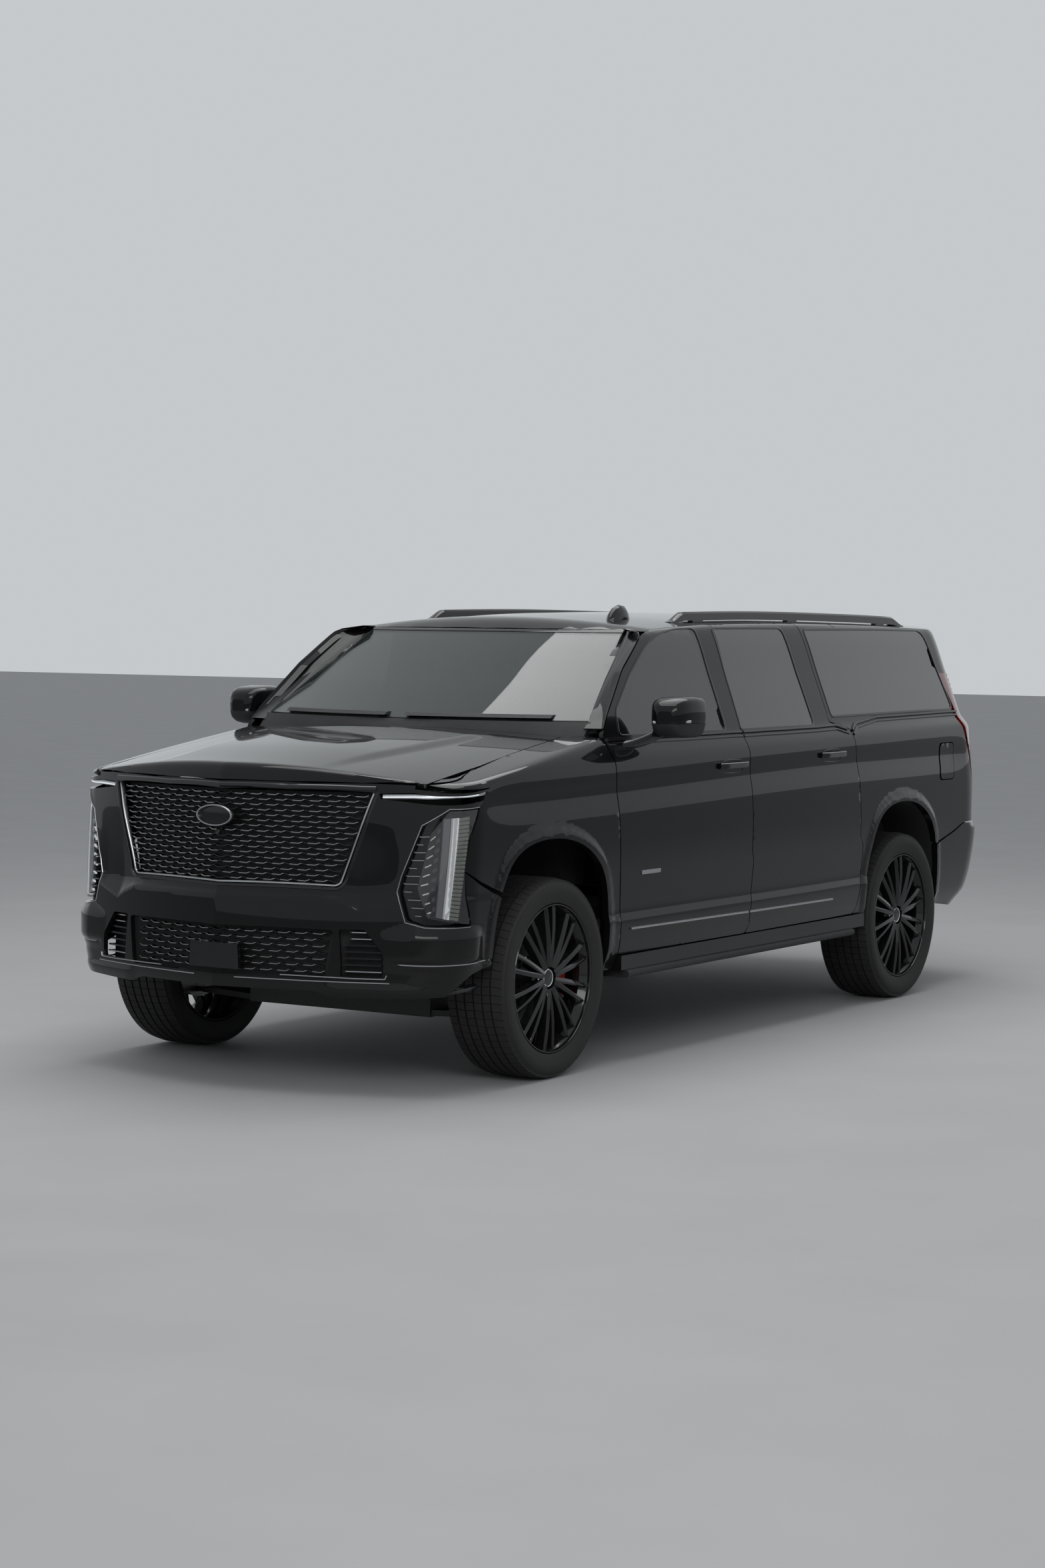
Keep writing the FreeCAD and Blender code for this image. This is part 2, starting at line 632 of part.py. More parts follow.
nose_wall = body.cut(lower_body(nose_depth)).cut(hood_space).cut(front_wells)
nose_outline = [(-3000.0, 300.0), (-3000.0, 1600.0), (fender_nose_y - 1.0, 1600.0)]
nose_outline += [(fender_nose_y - 1.0, 1231.0)]
nose_outline += [(y - 1.0, z - 1.0) for y, z in fender_front] + [(-2300.0, 300.0)]
nose_zone = prism_x(nose_outline, -1200.0, 1200.0)
front_lip = front_lip.cut(prism_x([(y + 2.0, z + 2.0) for y, z in nose_outline], 0.0, 1200.0))
parts["fender_left"] = solid_of(fender.fuse([lower_fender, front_lip]))
bumper = nose_wall.common(nose_zone)
right_edge = [(x, z) for x, z in lip_edge] + [(1200.0, 200.0)]
below_lip = right_edge + [(-x, z) for x, z in reversed(right_edge)]
bumper = bumper.cut(prism_y(below_lip, -3000.0, -2300.0))
dam = lower_form(48).cut(lower_form(66)).common(box(-dam_half, dam_half, -3000, -2560, 322, 445))
bumper = solid_of(bumper.fuse([dam, both(arch_lip(front_axle_y).common(nose_zone))]))
grille_outline = (
    (-grille_top_half, grille_top), (grille_top_half, grille_top),
    (grille_bottom_half, grille_bottom), (-grille_bottom_half, grille_bottom),
)
intake_outline = (
    (-intake_half - 12, intake_top), (intake_half + 12, intake_top),
    (intake_half - 20, intake_bottom), (-intake_half + 20, intake_bottom),
)
open_y = (-3000.0, -2450.0)
bumper = bumper.cut(prism_y(grille_outline, *open_y)).cut(prism_y(intake_outline, *open_y))
bumper = bumper.cut(both(prism_y(side_intake, *open_y)))
lamp_space = both(prism_y(lamp_outline, *open_y)).common(nose_zone)
strip_space = both(prism_y(strip_outline, *open_y)).common(nose_zone)
bumper = bumper.cut(lamp_space).cut(strip_space)
parts["front_bumper"] = solid_of(bumper)
lamp_band = lower_body(1.5).cut(lower_body(55))
lamps = lamp_band.common(lamp_space).Solids + lamp_band.common(strip_space).Solids
parts["headlamps"] = Part.makeCompound([s for s in lamps if s.Volume > 20000])


def zigzag(z, half, start):
    """One chevron bar across the opening, as an x, z outline."""
    count = int(math.ceil(half / grille_pitch)) + 1
    top = []
    for i in range(-2 * count, 2 * count + 1):
        x = (i + start) * grille_pitch / 2
        if abs(x) < half + grille_pitch:
            top.append((x, z + (grille_rise if i % 2 else 0.0)))
    return top + [(x, height - grille_bar) for x, height in reversed(top)]


nose_band = lower_form(12).cut(lower_form(12 + grille_depth)).common(box(-740, 740, -3000, -2600, 400, 1240))


def chevron_mesh(outline, rows):
    """A framed mesh of chevron bars that follows the nose."""
    low = outline[2][1]
    high = outline[0][1]
    outer_frame = prism_y(outline, *open_y)
    frame = outer_frame.cut(prism_y(shrunk(outline, grille_frame), *open_y))
    bars = []
    for row in range(1, rows + 1):
        t = row / (rows + 1.0)
        half = outline[2][0] + t * (outline[1][0] - outline[2][0])
        bar = prism_y(zigzag(low + t * (high - low), half, 0.5 * (row % 2)), *open_y)
        bars += bar.common(outer_frame).Solids
    return solid_of(nose_band.common(frame.fuse(bars)))


def fin_stack():
    """The fins of the left side intake, in their frame."""
    outer_frame = prism_y(side_intake, *open_y)
    frame = outer_frame.cut(prism_y(shrunk(side_intake, grille_frame), *open_y))
    low = side_intake[-1][1]
    pitch = (side_intake[0][1] - low) / (fin_rows + 1.0)
    fins = []
    for row in range(1, fin_rows + 1):
        z = low + row * pitch
        fins.append(box(520, 720, open_y[0], open_y[1], z, z + grille_bar).common(outer_frame))
    return solid_of(nose_band.common(frame.fuse(fins)))


emblem_turns = [math.radians(15.0 * i) for i in range(24)]
emblem_outline = [(emblem_half * math.cos(t), emblem_z + emblem_rise * math.sin(t)) for t in emblem_turns]
emblem = prism_y(emblem_outline, nose_y + 25.0, nose_y + 70.0)
upper_mesh = solid_of(chevron_mesh(grille_outline, grille_rows).fuse(emblem))
parts["grille"] = Part.makeCompound([
    upper_mesh, chevron_mesh(intake_outline, intake_rows), both(fin_stack()),
])

print("rear bumper")
bumper_wall = body.cut(lower_body(nose_depth)).cut(gate_space).cut(rear_wells)
receiver_way = box(-receiver_out - 18, receiver_out + 18, 2500, 2900, 430, receiver_z + receiver_out + 18)
rear_bumper = bumper_wall.common(bumper_zone).cut(receiver_way)
parts["rear_bumper"] = solid_of(rear_bumper.fuse(both(rear_lip.common(bumper_zone))))

print("boards, rails and small pieces")
board = box(board_inner, board_outer, -1290, 940, board_low, sill_low - seat_gap)
board = board.makeFillet(14, [e for e in board.Edges if e.Length > 1000 and e.BoundBox.XMin > 1000])
parts["running_boards"] = both(board)
roof_rail = prism_x(((-338, 1880), (-250, 1951), (1950, 1951), (2190, 1880)), 640, 682)
parts["roof_rails"] = both(solid_of(roof_rail.cut(glass_house(-seat_gap))))
pod_outline = ((-566, 1880), (-540, 1958), (-500, 1976), (-440, 1972), (-405, 1940), (-396, 1880))
pod = prism_x(pod_outline, pod_x - 30, pod_x + 30)
parts["roof_antenna"] = solid_of(pod.cut(glass_house(-seat_gap)))
blade_band = glass_house(-14).cut(glass_house(glass_inset - seat_gap))
blades = []
for x0, x1 in ((-700.0, -60.0), (40.0, 700.0)):
    strip = prism_y(((x0, 1480.0), (x1, 1480.0), (x1, 1494.0), (x0, 1494.0)), -1900, -1000)
    blades += blade_band.common(strip).Solids
parts["wipers"] = Part.makeCompound(blades)

print("wheels")
half_width = tyre_width / 2


def turned(profile, x_mid):
    """A closed x, r profile turned about the wheel's axis, which is at the origin."""
    face = face_of([V(x_mid + x, 0, r) for x, r in profile])
    return face.revolve(V(0, 0, 0), LEFT, 360)


tyre_profile = (
    (-118.0, rim_seat_radius), (-118.0, rim_radius), (-131.0, rim_radius), (-134.0, 330.0),
    (-half_width, 362.0), (-138.0, 394.0),
    (-124.0, 409.0), (-90.0, 416.5), (-30.0, tyre_radius), (30.0, tyre_radius), (90.0, 416.5),
    (124.0, 409.0), (138.0, 394.0), (half_width, 362.0), (134.0, 330.0), (131.0, rim_radius),
    (118.0, rim_radius), (118.0, rim_seat_radius), (98.0, rim_seat_radius), (112.0, 340.0),
    (122.0, 370.0), (112.0, 390.0), (0.0, 402.0),
    (-112.0, 390.0), (-122.0, 370.0), (-112.0, 340.0), (-98.0, rim_seat_radius),
)
barrel_profile = (
    (-130.0, rim_radius), (-118.0, rim_radius), (-118.0, rim_seat_radius), (-96.0, rim_seat_radius),
    (-70.0, 290.0), (80.0, 290.0), (96.0, rim_seat_radius), (118.0, rim_seat_radius),
    (118.0, rim_radius), (131.0, rim_radius), (131.0, 300.0), (104.0, 290.0), (86.0, rim_well_radius),
    (-70.0, rim_well_radius), (-100.0, 292.0), (-130.0, 300.0),
)
tyre = turned(tyre_profile, track_half)
rim = turned(barrel_profile, track_half)
blade_outline = ((2.0, 40.0), (14.0, 40.0), (44.0, 296.0), (20.0, 296.0))
spokes = []
for i in range(spoke_count):
    for side in (1.0, -1.0):
        outline = [(side * y, z) for y, z in blade_outline]
        spoke = prism_x(outline, rim_face_x - spoke_thick, rim_face_x - 6.0)
        spoke.rotate(V(0, 0, 0), LEFT, 360.0 * i / spoke_count)
        spokes.append(spoke)
hub = Part.makeCylinder(hub_radius, hub_face_x - disc_x, V(disc_x, 0, 0), LEFT)
disc = Part.makeCylinder(disc_radius, disc_thick, V(disc_x - disc_thick, 0, 0), LEFT)
rim = rim.fuse(spokes + [hub, disc])
rim = rim.common(Part.makeCylinder(rim_radius, 400, V(700, 0, 0), LEFT))
hub_bore = Part.makeCylinder(axle_pin_radius + running_gap, 100, V(disc_x - disc_thick, 0, 0), LEFT)
rim = solid_of(rim.cut(hub_bore))
caliper_box = box(disc_x - disc_thick - 30, disc_x + 34, 118, 246, -110, 110)
caliper = caliper_box.cut(Part.makeCylinder(disc_radius + 5, disc_thick + 10, V(disc_x - disc_thick - 5, 0, 0), LEFT))
caliper = caliper.common(Part.makeCylinder(262, 400, V(700, 0, 0), LEFT))
knuckle_face = disc_x - disc_thick - 2.0
knuckle = box(knuckle_face - 46, knuckle_face, -38, 38, -140, 140)
knuckle = knuckle.fuse([Part.makeCylinder(axle_pin_radius, 96, V(knuckle_face - 2, 0, 0), LEFT),
                        box(knuckle_face - 30, knuckle_face, 0, 150, -60, 60), caliper])
ball_radius = 12.0
ball_x = knuckle_face - 23
lower_arm_z = 235.0
upper_arm_z = 575.0
front_knuckle = knuckle.copy()
front_knuckle.translate(V(0, front_axle_y, tyre_radius))
front_knuckle = front_knuckle.fuse([
    box(knuckle_face - 46, knuckle_face, front_axle_y - 38, front_axle_y + 38,
        lower_arm_z + arm_thick + 1, upper_arm_z - 1),
    cylinder_z(ball_radius, lower_arm_z + 2, upper_arm_z + arm_thick - 2, ball_x, front_axle_y)])
parts["knuckle_left"] = solid_of(front_knuckle)
for place, axle_y in (("front", front_axle_y), ("rear", rear_axle_y)):
    for piece, shape in (("tyre", tyre), ("rim", rim)):
        moved = shape.copy()
        moved.translate(V(0, axle_y, tyre_radius))
        parts["%s_%s_left" % (piece, place)] = moved

print("frame and running gear")
rail_top = floor_top - floor_thick - seat_gap
cross_low = 520.0
frame = box(rail_inner, rail_outer, -2660, 2480, rail_low, rail_top)
frame = frame.fuse(mirrored(frame))
for y in (-1200.0, -350.0, 600.0, 1180.0, rear_axle_y - 40, 2150.0, 2400.0):
    frame = frame.fuse(box(-rail_outer + 5, rail_outer - 5, y, y + 80, cross_low, rail_top))
cradle = box(-470, 470, front_axle_y - 130, front_axle_y + 130, lower_arm_z - 5, rail_low - seat_gap)
bolster = box(-rail_outer + 5, rail_outer - 5, -2660, -2580, rail_low, 500)
lift_pads = [box(rail_inner + 15, rail_outer - 15, y - 45, y + 45, rail_low - lift_pad_drop, rail_low + 2)
             for y in (-1000.0, 1000.0)]
frame = solid_of(frame.fuse([bolster] + [both(pad) for pad in lift_pads]))
receiver = box(-receiver_out, receiver_out, 2380, receiver_end, receiver_z - receiver_out, receiver_z + receiver_out)
receiver = receiver.fuse(box(-receiver_out, receiver_out, 2402, 2478, receiver_z, cross_low - seat_gap))
receiver = receiver.cut(box(-receiver_in, receiver_in, 2400, receiver_end + 1, receiver_z - receiver_in,
                            receiver_z + receiver_in))
receiver = receiver.cut(cylinder_x(tow_pin_radius, -50, 50, tow_pin_y, receiver_z))
eye_bore = cylinder_z(ball_radius + running_gap, 200, 700, ball_x, front_axle_y)


def wishbone(x0, low):
    outline = ((x0, front_axle_y - 120), (ball_x, front_axle_y - 26), (ball_x + 20, front_axle_y - 10),
               (ball_x + 20, front_axle_y + 10), (ball_x, front_axle_y + 26), (x0, front_axle_y + 120))
    return prism_z(outline, low, low + arm_thick).cut(eye_bore)


arms = [wishbone(470 + seat_gap, lower_arm_z), wishbone(rail_outer + seat_gap, upper_arm_z)]
carrier = knuckle.copy()
carrier.rotate(V(0, 0, 0), LEFT, 180)
carrier.translate(V(0, rear_axle_y, tyre_radius))
rear_arms = [box(rail_outer + seat_gap, knuckle_face - 5, rear_axle_y - 60, rear_axle_y + 60, z, z + arm_thick)
             for z in (rail_low + 5, 540.0)]
shaft = cylinder_x(22, 60, knuckle_face - 40, rear_axle_y, tyre_radius)
rear_unit = solid_of(carrier.fuse(rear_arms + [shaft]))
final_drive = Part.makeCylinder(100, 200, V(-100, rear_axle_y, tyre_radius), LEFT)
rear_axle = solid_of(rear_unit.fuse([mirrored(rear_unit), final_drive]))
parts["frame"] = frame
parts["front_cradle"] = cradle
parts["tow_receiver"] = receiver
parts["front_arms"] = Part.makeCompound(arms + [mirrored(a) for a in arms])
parts["rear_axle"] = rear_axle

floor = box(-sill_inner + seat_gap, sill_inner - seat_gap, firewall_y - firewall_thick, 2560,
            floor_top - floor_thick, floor_top)
dash_wall = box(-780, 780, firewall_y - firewall_thick, firewall_y, floor_top - floor_thick, 1394.7)
floor = floor.fuse([dash_wall] + hood_lugs).cut(rear_wells).cut(front_wells)
parts["floor"] = solid_of(floor)
parts["engine"] = box(-330, 330, -2330, -1560, rail_low, 1160)
parts["radiator"] = box(-390, 390, -2650, -2590, 500 + seat_gap, 1190)
prop = Part.makeCylinder(38, rear_axle_y - 100 + 700, V(0, -700, 470), BACK)
pipe = Part.makeCylinder(30, 3500, V(-250, -1000, 486), BACK)
silencer = box(-380, -120, 1750, 2200, 400, cross_low - seat_gap)
parts["exhaust"] = solid_of(pipe.fuse(silencer))
parts["propshaft"] = prop

print("cabin")


def seat(x0, x1, y):
    """A seat seen from the side: base, cushion, back and head restraint."""
    outline = (
        (y, floor_top + seat_gap), (y, 1000), (y + 60, 1030), (y + 480, 1000), (y + 590, 1500),
        (y + 605, 1660), (y + 690, 1660), (y + 700, 1480), (y + 600, 940), (y + 560, floor_top + seat_gap),
    )
    return prism_x(outline, x0, x1)


parts["front_seats"] = both(seat(190, 690, -850))
rear_rows = [seat(190, 690, 120), seat(-690, -190, 120), seat(-600, 600, 1130)]
parts["rear_seats"] = Part.makeCompound(rear_rows)
dash_outline = (
    (firewall_y + seat_gap, 760), (firewall_y + seat_gap, 1392), (-1250, 1404), (-1090, 1340),
    (-1060, 1180), (-1200, 1020), (-1260, 760),
)
dash = prism_x(dash_outline, -770, 770)
parts["dashboard"] = dash
wheel_lean = 0.42
wheel_centre = V(440, -1015, 1200)
column_axis = V(0, math.cos(wheel_lean), math.sin(wheel_lean))
wheel_ring = Part.makeTorus(182, 15, wheel_centre, column_axis)
column = Part.makeCylinder(26, 190, wheel_centre - column_axis * 175, column_axis)
spoke = box(-180, 180, -9, 9, -14, 14)
spoke.rotate(V(0, 0, 0), LEFT, math.degrees(wheel_lean))
spoke.translate(wheel_centre)
steering = wheel_ring.fuse([column, spoke]).cut(dash)
parts["steering_wheel"] = solid_of(steering)

for name in [n for n in parts if n.endswith("_left") and n != "body_side_left"]:
    parts[name.replace("_left", "_right")] = mirrored(parts[name])

os.makedirs("parts", exist_ok=True)
for name, shape in parts.items():
    shape.exportStep("parts/%s.step" % name)
    print(name, shape.isValid(), len(shape.Solids), round(shape.Volume / 1e6, 2))
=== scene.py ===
import json
import math

import bmesh
import bpy
import numpy as np
from mathutils import Matrix, Vector, geometry


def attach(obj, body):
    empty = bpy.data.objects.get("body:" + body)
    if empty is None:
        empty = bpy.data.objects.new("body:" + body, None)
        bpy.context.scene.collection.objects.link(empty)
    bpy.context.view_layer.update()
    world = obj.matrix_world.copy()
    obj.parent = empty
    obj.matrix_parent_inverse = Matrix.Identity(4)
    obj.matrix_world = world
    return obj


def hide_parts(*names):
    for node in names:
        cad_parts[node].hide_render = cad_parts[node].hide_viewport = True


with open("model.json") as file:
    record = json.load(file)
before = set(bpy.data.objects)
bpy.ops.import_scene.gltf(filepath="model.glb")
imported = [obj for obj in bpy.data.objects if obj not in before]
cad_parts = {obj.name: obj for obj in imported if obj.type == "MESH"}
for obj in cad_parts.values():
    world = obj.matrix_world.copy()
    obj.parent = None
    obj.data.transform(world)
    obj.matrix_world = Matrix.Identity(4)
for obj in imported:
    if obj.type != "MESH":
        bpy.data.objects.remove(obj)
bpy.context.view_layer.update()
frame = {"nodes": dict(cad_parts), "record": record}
SIDES = (("left", 1.0), ("right", -1.0))

# Camera, solved from the photograph
CAMERA_AZIMUTH = 31.7505
CAMERA_ELEVATION = 3.1353
CAMERA_ROLL = 0.5677
CAMERA_PLACE = (7.6303, -12.8523, 1.9278)
CAMERA_LENS = 71.37

# Driving sizes, in metres
FRONT_AXLE_Y = -1.872
REAR_AXLE_Y = 1.534
AXLE_Z = 0.419
WHEEL_X = 0.866


class Field:
    """A socket of a node tree. Sums and products of fields add the Math nodes they need."""

    def __init__(self, tree, socket):
        self.tree = tree
        self.socket = socket

    def math(self, operation, a, b=None, clamp=False):
        node = self.tree.nodes.new("ShaderNodeMath")
        node.operation = operation
        node.use_clamp = clamp
        for slot, value in zip(node.inputs, (a, b)):
            if isinstance(value, Field):
                self.tree.links.new(value.socket, slot)
            elif value is not None:
                slot.default_value = value
        return Field(self.tree, node.outputs[0])

    def __add__(self, other):
        return self.math("ADD", self, other)

    def __radd__(self, other):
        return self.math("ADD", other, self)

    def __sub__(self, other):
        return self.math("SUBTRACT", self, other)

    def __rsub__(self, other):
        return self.math("SUBTRACT", other, self)

    def __mul__(self, other):
        return self.math("MULTIPLY", self, other)

    def __rmul__(self, other):
        return self.math("MULTIPLY", other, self)

    def __truediv__(self, other):
        return self.math("DIVIDE", self, other)

    def __mod__(self, other):
        return self.math("FLOORED_MODULO", self, other)

    def __gt__(self, other):
        return self.math("GREATER_THAN", self, other)

    def clamped(self):
        return self.math("ADD", self, 0.0, clamp=True)


class Finish:
    """One material, with a Principled shader and the nodes that feed it."""

    def __init__(self, name):
        self.material = bpy.data.materials.new(name)
        self.material.use_nodes = True
        self.tree = self.material.node_tree
        self.shader = self.tree.nodes["Principled BSDF"]

    def node(self, kind, settings=None, inputs=None, output=0):
        """A node of a kind with its settings, then the values or links of its inputs."""
        node = self.tree.nodes.new(kind)
        for key, value in (settings or {}).items():
            if key == "stops":
                ramp = node.color_ramp.elements
                while len(ramp) > len(value):
                    ramp.remove(ramp[-1])
                while len(ramp) < len(value):
                    ramp.new(1.0)
                for element, (place, shade) in zip(ramp, value):
                    element.position = place
                    element.color = (shade, shade, shade, 1.0)
            else:
                setattr(node, key, value)
        for key, value in (inputs or {}).items():
            if isinstance(value, Field):
                self.tree.links.new(value.socket, node.inputs[key])
            else:
                node.inputs[key].default_value = value
        return Field(self.tree, node.outputs[output])

    def place(self):
        return self.node("ShaderNodeTexCoord", output=3)

    def axes(self):
        """The x, y and z of the object's own coordinates."""
        split = self.node("ShaderNodeSeparateXYZ", inputs={0: self.place()})
        return [Field(self.tree, s) for s in split.socket.node.outputs]

    def noise(self, scale, detail=3.0, rough=0.5):
        return self.node("ShaderNodeTexNoise", inputs={
            "Vector": self.place(), "Scale": scale, "Detail": detail, "Roughness": rough})

    def set(self, **values):
        """Sockets of the shader by name, with words joined by underscores."""
        for key, value in values.items():
            socket = self.shader.inputs[key.replace("_", " ")]
            if isinstance(value, Field):
                self.tree.links.new(value.socket, socket)
            else:
                socket.default_value = value
        return self

    def shades(self, mask, dark, light):
        """A colour between dark and light as the mask goes from 0 to 1."""
        return self.node("ShaderNodeMix", {"data_type": "RGBA"}, {
            0: mask, 6: (*dark, 1.0), 7: (*light, 1.0)}, output=2)

    def bump(self, height, strength, distance):
        return self.set(Normal=self.node("ShaderNodeBump", inputs={
            "Height": height, "Strength": strength, "Distance": distance}))


def paint_finish():
    """Gloss black clear-coated paint with a faint film of dust low down."""
    f = Finish("gloss_black_paint")
    low = 1.0 - (f.axes()[2] / 0.9).clamped()
    dust = (low * f.noise(9.0, 4.0, 0.6) * 0.5).clamped()
    f.set(Base_Color=f.shades(dust, (0.0035, 0.0035, 0.004), (0.03, 0.028, 0.026)),
          Roughness=0.3 + dust * 0.25, Metallic=0.0, Coat_Weight=1.0 - dust * 0.3,
          Coat_Roughness=0.015, Coat_IOR=1.36, Specular_IOR_Level=0.05)
    return f.bump(f.noise(420.0, 1.0), 0.02, 0.0004).material


def gloss_finish(name, colour=(0.005, 0.005, 0.006), rough=0.1):
    """Moulded gloss black plastic."""
    f = Finish(name)
    f.set(Base_Color=f.shades(f.noise(30.0), colour, tuple(2.0 * c for c in colour)),
          Roughness=rough + f.noise(14.0) * 0.06, Specular_IOR_Level=0.35, Coat_Weight=0.3,
          Coat_Roughness=0.05)
    return f.bump(f.noise(300.0, 1.0), 0.03, 0.0004).material


def grained_finish(name, colour, rough=0.6, grain=900.0):
    """Black plastic with a fine moulded grain."""
    f = Finish(name)
    grain_field = f.node("ShaderNodeTexVoronoi", inputs={"Vector": f.place(), "Scale": grain})
    f.set(Base_Color=f.shades(f.noise(6.0), colour, tuple(1.7 * c for c in colour)),
          Roughness=rough + f.noise(40.0) * 0.12)
    return f.bump(grain_field, 0.25, 0.0004).material


def rubber_finish():
    """Tyre rubber, mottled with dusty grey."""
    f = Finish("tyre_rubber")
    worn = f.noise(22.0, 5.0, 0.65)
    f.set(Base_Color=f.shades(worn, (0.008, 0.008, 0.008), (0.028, 0.027, 0.026)),
          Roughness=0.55 + worn * 0.25, Specular_IOR_Level=0.35)
    return f.bump(f.noise(700.0, 2.0), 0.2, 0.0005).material


def metal_finish(name, colour, rough, wear=0.1, scale=60.0):
    """Bare or plated metal with faint mottling."""
    f = Finish(name)
    mottle = f.noise(scale, 4.0, 0.6)
    f.set(Base_Color=f.shades(mottle, tuple(0.8 * c for c in colour), colour), Metallic=1.0,
          Roughness=rough + mottle * wear)
    return f.bump(mottle, 0.08, 0.0006).material


def glass_finish(name, tint, alpha, rough=0.0):
    """Tinted pane seen as a thin sheet: mirror-like skin, part see-through."""
    f = Finish(name)
    f.set(Base_Color=f.shades(f.noise(2.0), tint, tuple(1.2 * c for c in tint)),
          Roughness=rough + f.noise(3.0) * 0.01, Alpha=alpha, IOR=1.52, Coat_Weight=1.0,
          Coat_Roughness=0.0, Coat_IOR=1.6)
    return f.material


def light_finish(name, colour, glow):
    """A lit or silvered lamp part."""
    f = Finish(name)
    f.set(Base_Color=f.shades(f.noise(120.0), tuple(0.6 * c for c in colour), colour), Metallic=0.6,
          Roughness=0.18 + f.noise(60.0) * 0.1, Emission_Color=(*colour, 1.0), Emission_Strength=glow)
    return f.material


def leather_finish():
    """Black leather with a fine pebbled grain."""
    f = Finish("black_leather")
    grain = f.node("ShaderNodeTexVoronoi", inputs={"Vector": f.place(), "Scale": 420.0})
    f.set(Base_Color=f.shades(f.noise(12.0), (0.012, 0.011, 0.011), (0.03, 0.028, 0.027)),
          Roughness=0.42 + f.noise(25.0) * 0.15)
    return f.bump(grain, 0.35, 0.0006).material


paint = paint_finish()
gloss = gloss_finish("gloss_black_trim")
grained = grained_finish("grained_black_plastic", (0.012, 0.012, 0.013))
rubber = rubber_finish()
wheel_paint = gloss_finish("gloss_black_alloy", (0.006, 0.006, 0.006), 0.09)
chassis_paint = grained_finish("satin_chassis_paint", (0.014, 0.014, 0.014), 0.5, 250.0)
steel = metal_finish("machined_steel", (0.42, 0.41, 0.4), 0.32)
dull_steel = metal_finish("dull_stainless_steel", (0.3, 0.28, 0.25), 0.4, 0.2, 20.0)
cast = metal_finish("cast_block", (0.16, 0.16, 0.16), 0.55, 0.2, 30.0)
leather = leather_finish()
chrome = metal_finish("bright_chrome", (0.78, 0.79, 0.8), 0.06, 0.04, 8.0)
satin = metal_finish("satin_bright_trim", (0.5, 0.51, 0.52), 0.22, 0.06, 30.0)
disc_steel = metal_finish("brake_disc_steel", (0.3, 0.3, 0.3), 0.28, 0.2, 90.0)
caliper_red = gloss_finish("red_caliper_paint", (0.32, 0.008, 0.008), 0.25)
lamp_glow = light_finish("lamp_light_guide", (0.85, 0.88, 0.9), 0.5)
lamp_rib = light_finish("lamp_ribs", (0.55, 0.6, 0.52), 0.12)
lamp_silver = light_finish("lamp_reflector", (0.6, 0.62, 0.65), 0.05)
lamp_eye = light_finish("lamp_projector", (0.25, 0.27, 0.3), 0.02)
smoked = gloss_finish("smoked_lamp_parts", (0.02, 0.02, 0.022), 0.15)
red_light = light_finish("red_lamp_ribs", (0.5, 0.01, 0.01), 0.08)
soft_trim = grained_finish("soft_black_trim", (0.014, 0.014, 0.015), 0.7, 1100.0)
screen_glass = glass_finish("windscreen_glass", (0.02, 0.028, 0.026), 0.55)
side_glass = glass_finish("door_glass", (0.006, 0.008, 0.0075), 0.74)
privacy_glass = glass_finish("privacy_glass", (0.003, 0.003, 0.0035), 0.93)
lamp_glass = glass_finish("lamp_glass", (0.05, 0.05, 0.055), 0.35)
red_glass = glass_finish("red_lamp_glass", (0.16, 0.004, 0.004), 0.9, 0.05)

FINISHES = {
    "paint": paint, "gloss_trim": gloss, "trim": grained, "grille_metal": gloss,
    "clear_glass": screen_glass, "dark_glass": privacy_glass, "lamp_lens": lamp_glass,
    "red_lens": red_glass, "tyre": rubber, "wheel": wheel_paint, "steel": steel,
    "chassis": chassis_paint, "exhaust": dull_steel, "engine": cast, "leather": leather,
    "soft_trim": soft_trim,
}
slot_of = {part["node"]: part["material_slot"] for part in frame["record"]["subparts"]}


def dress_cad_nodes():
    """Each carried-over piece takes the finish of its record slot."""
    for name, node in frame["nodes"].items():
        node.data.materials.clear()
        node.data.materials.append(FINISHES[slot_of[name]])


dress_cad_nodes()


# Body sections: height, half width, nose, tail, nose corner, tail corner, rise with y
BODY_LEVELS = np.array((
    (0.322, 0.900, -2.797, 2.560, 0.260, 0.430, 0.0),
    (0.394, 0.968, -2.877, 2.635, 0.260, 0.430, 0.0),
    (0.441, 0.988, -2.8865, 2.690, 0.260, 0.430, 0.0),
    (0.500, 1.010, -2.884, 2.775, 0.260, 0.430, 0.0),
    (0.676, 1.022, -2.877, 2.858, 0.260, 0.430, 0.0),
    (0.812, 1.026, -2.870, 2.885, 0.260, 0.430, 0.0),
    (0.846, 1.027, -2.868, 2.830, 0.260, 0.430, 0.0),
    (1.010, 1.029, -2.857, 2.828, 0.260, 0.430, 0.0),
    (1.304, 1.021, -2.835, 2.770, 0.250, 0.420, 0.0207),
    (1.405, 0.962, -2.762, 2.735, 0.230, 0.380, 0.006),
    (1.466, 0.920, -2.697, 2.700, 0.220, 0.360, 0.006),
))
# Cabin sections: height, half width, windscreen, tail, corners, windscreen plan radius
CABIN_LEVELS = np.array((
    (1.395, 0.965, -1.711, 2.742, 0.105, 0.330, 1.650),
    (1.640, 0.890, -1.264, 2.668, 0.105, 0.315, 2.000),
    (1.882, 0.811, -0.826, 2.590, 0.105, 0.300, 2.300),
    (1.950, 0.745, -0.690, 2.520, 0.105, 0.280, 2.400),
))
NOSE_ARC = 2.564
NOSE_BEND = math.radians(5.7)
SIDE_ARC = 60.0
TAIL_ARC = 3.2
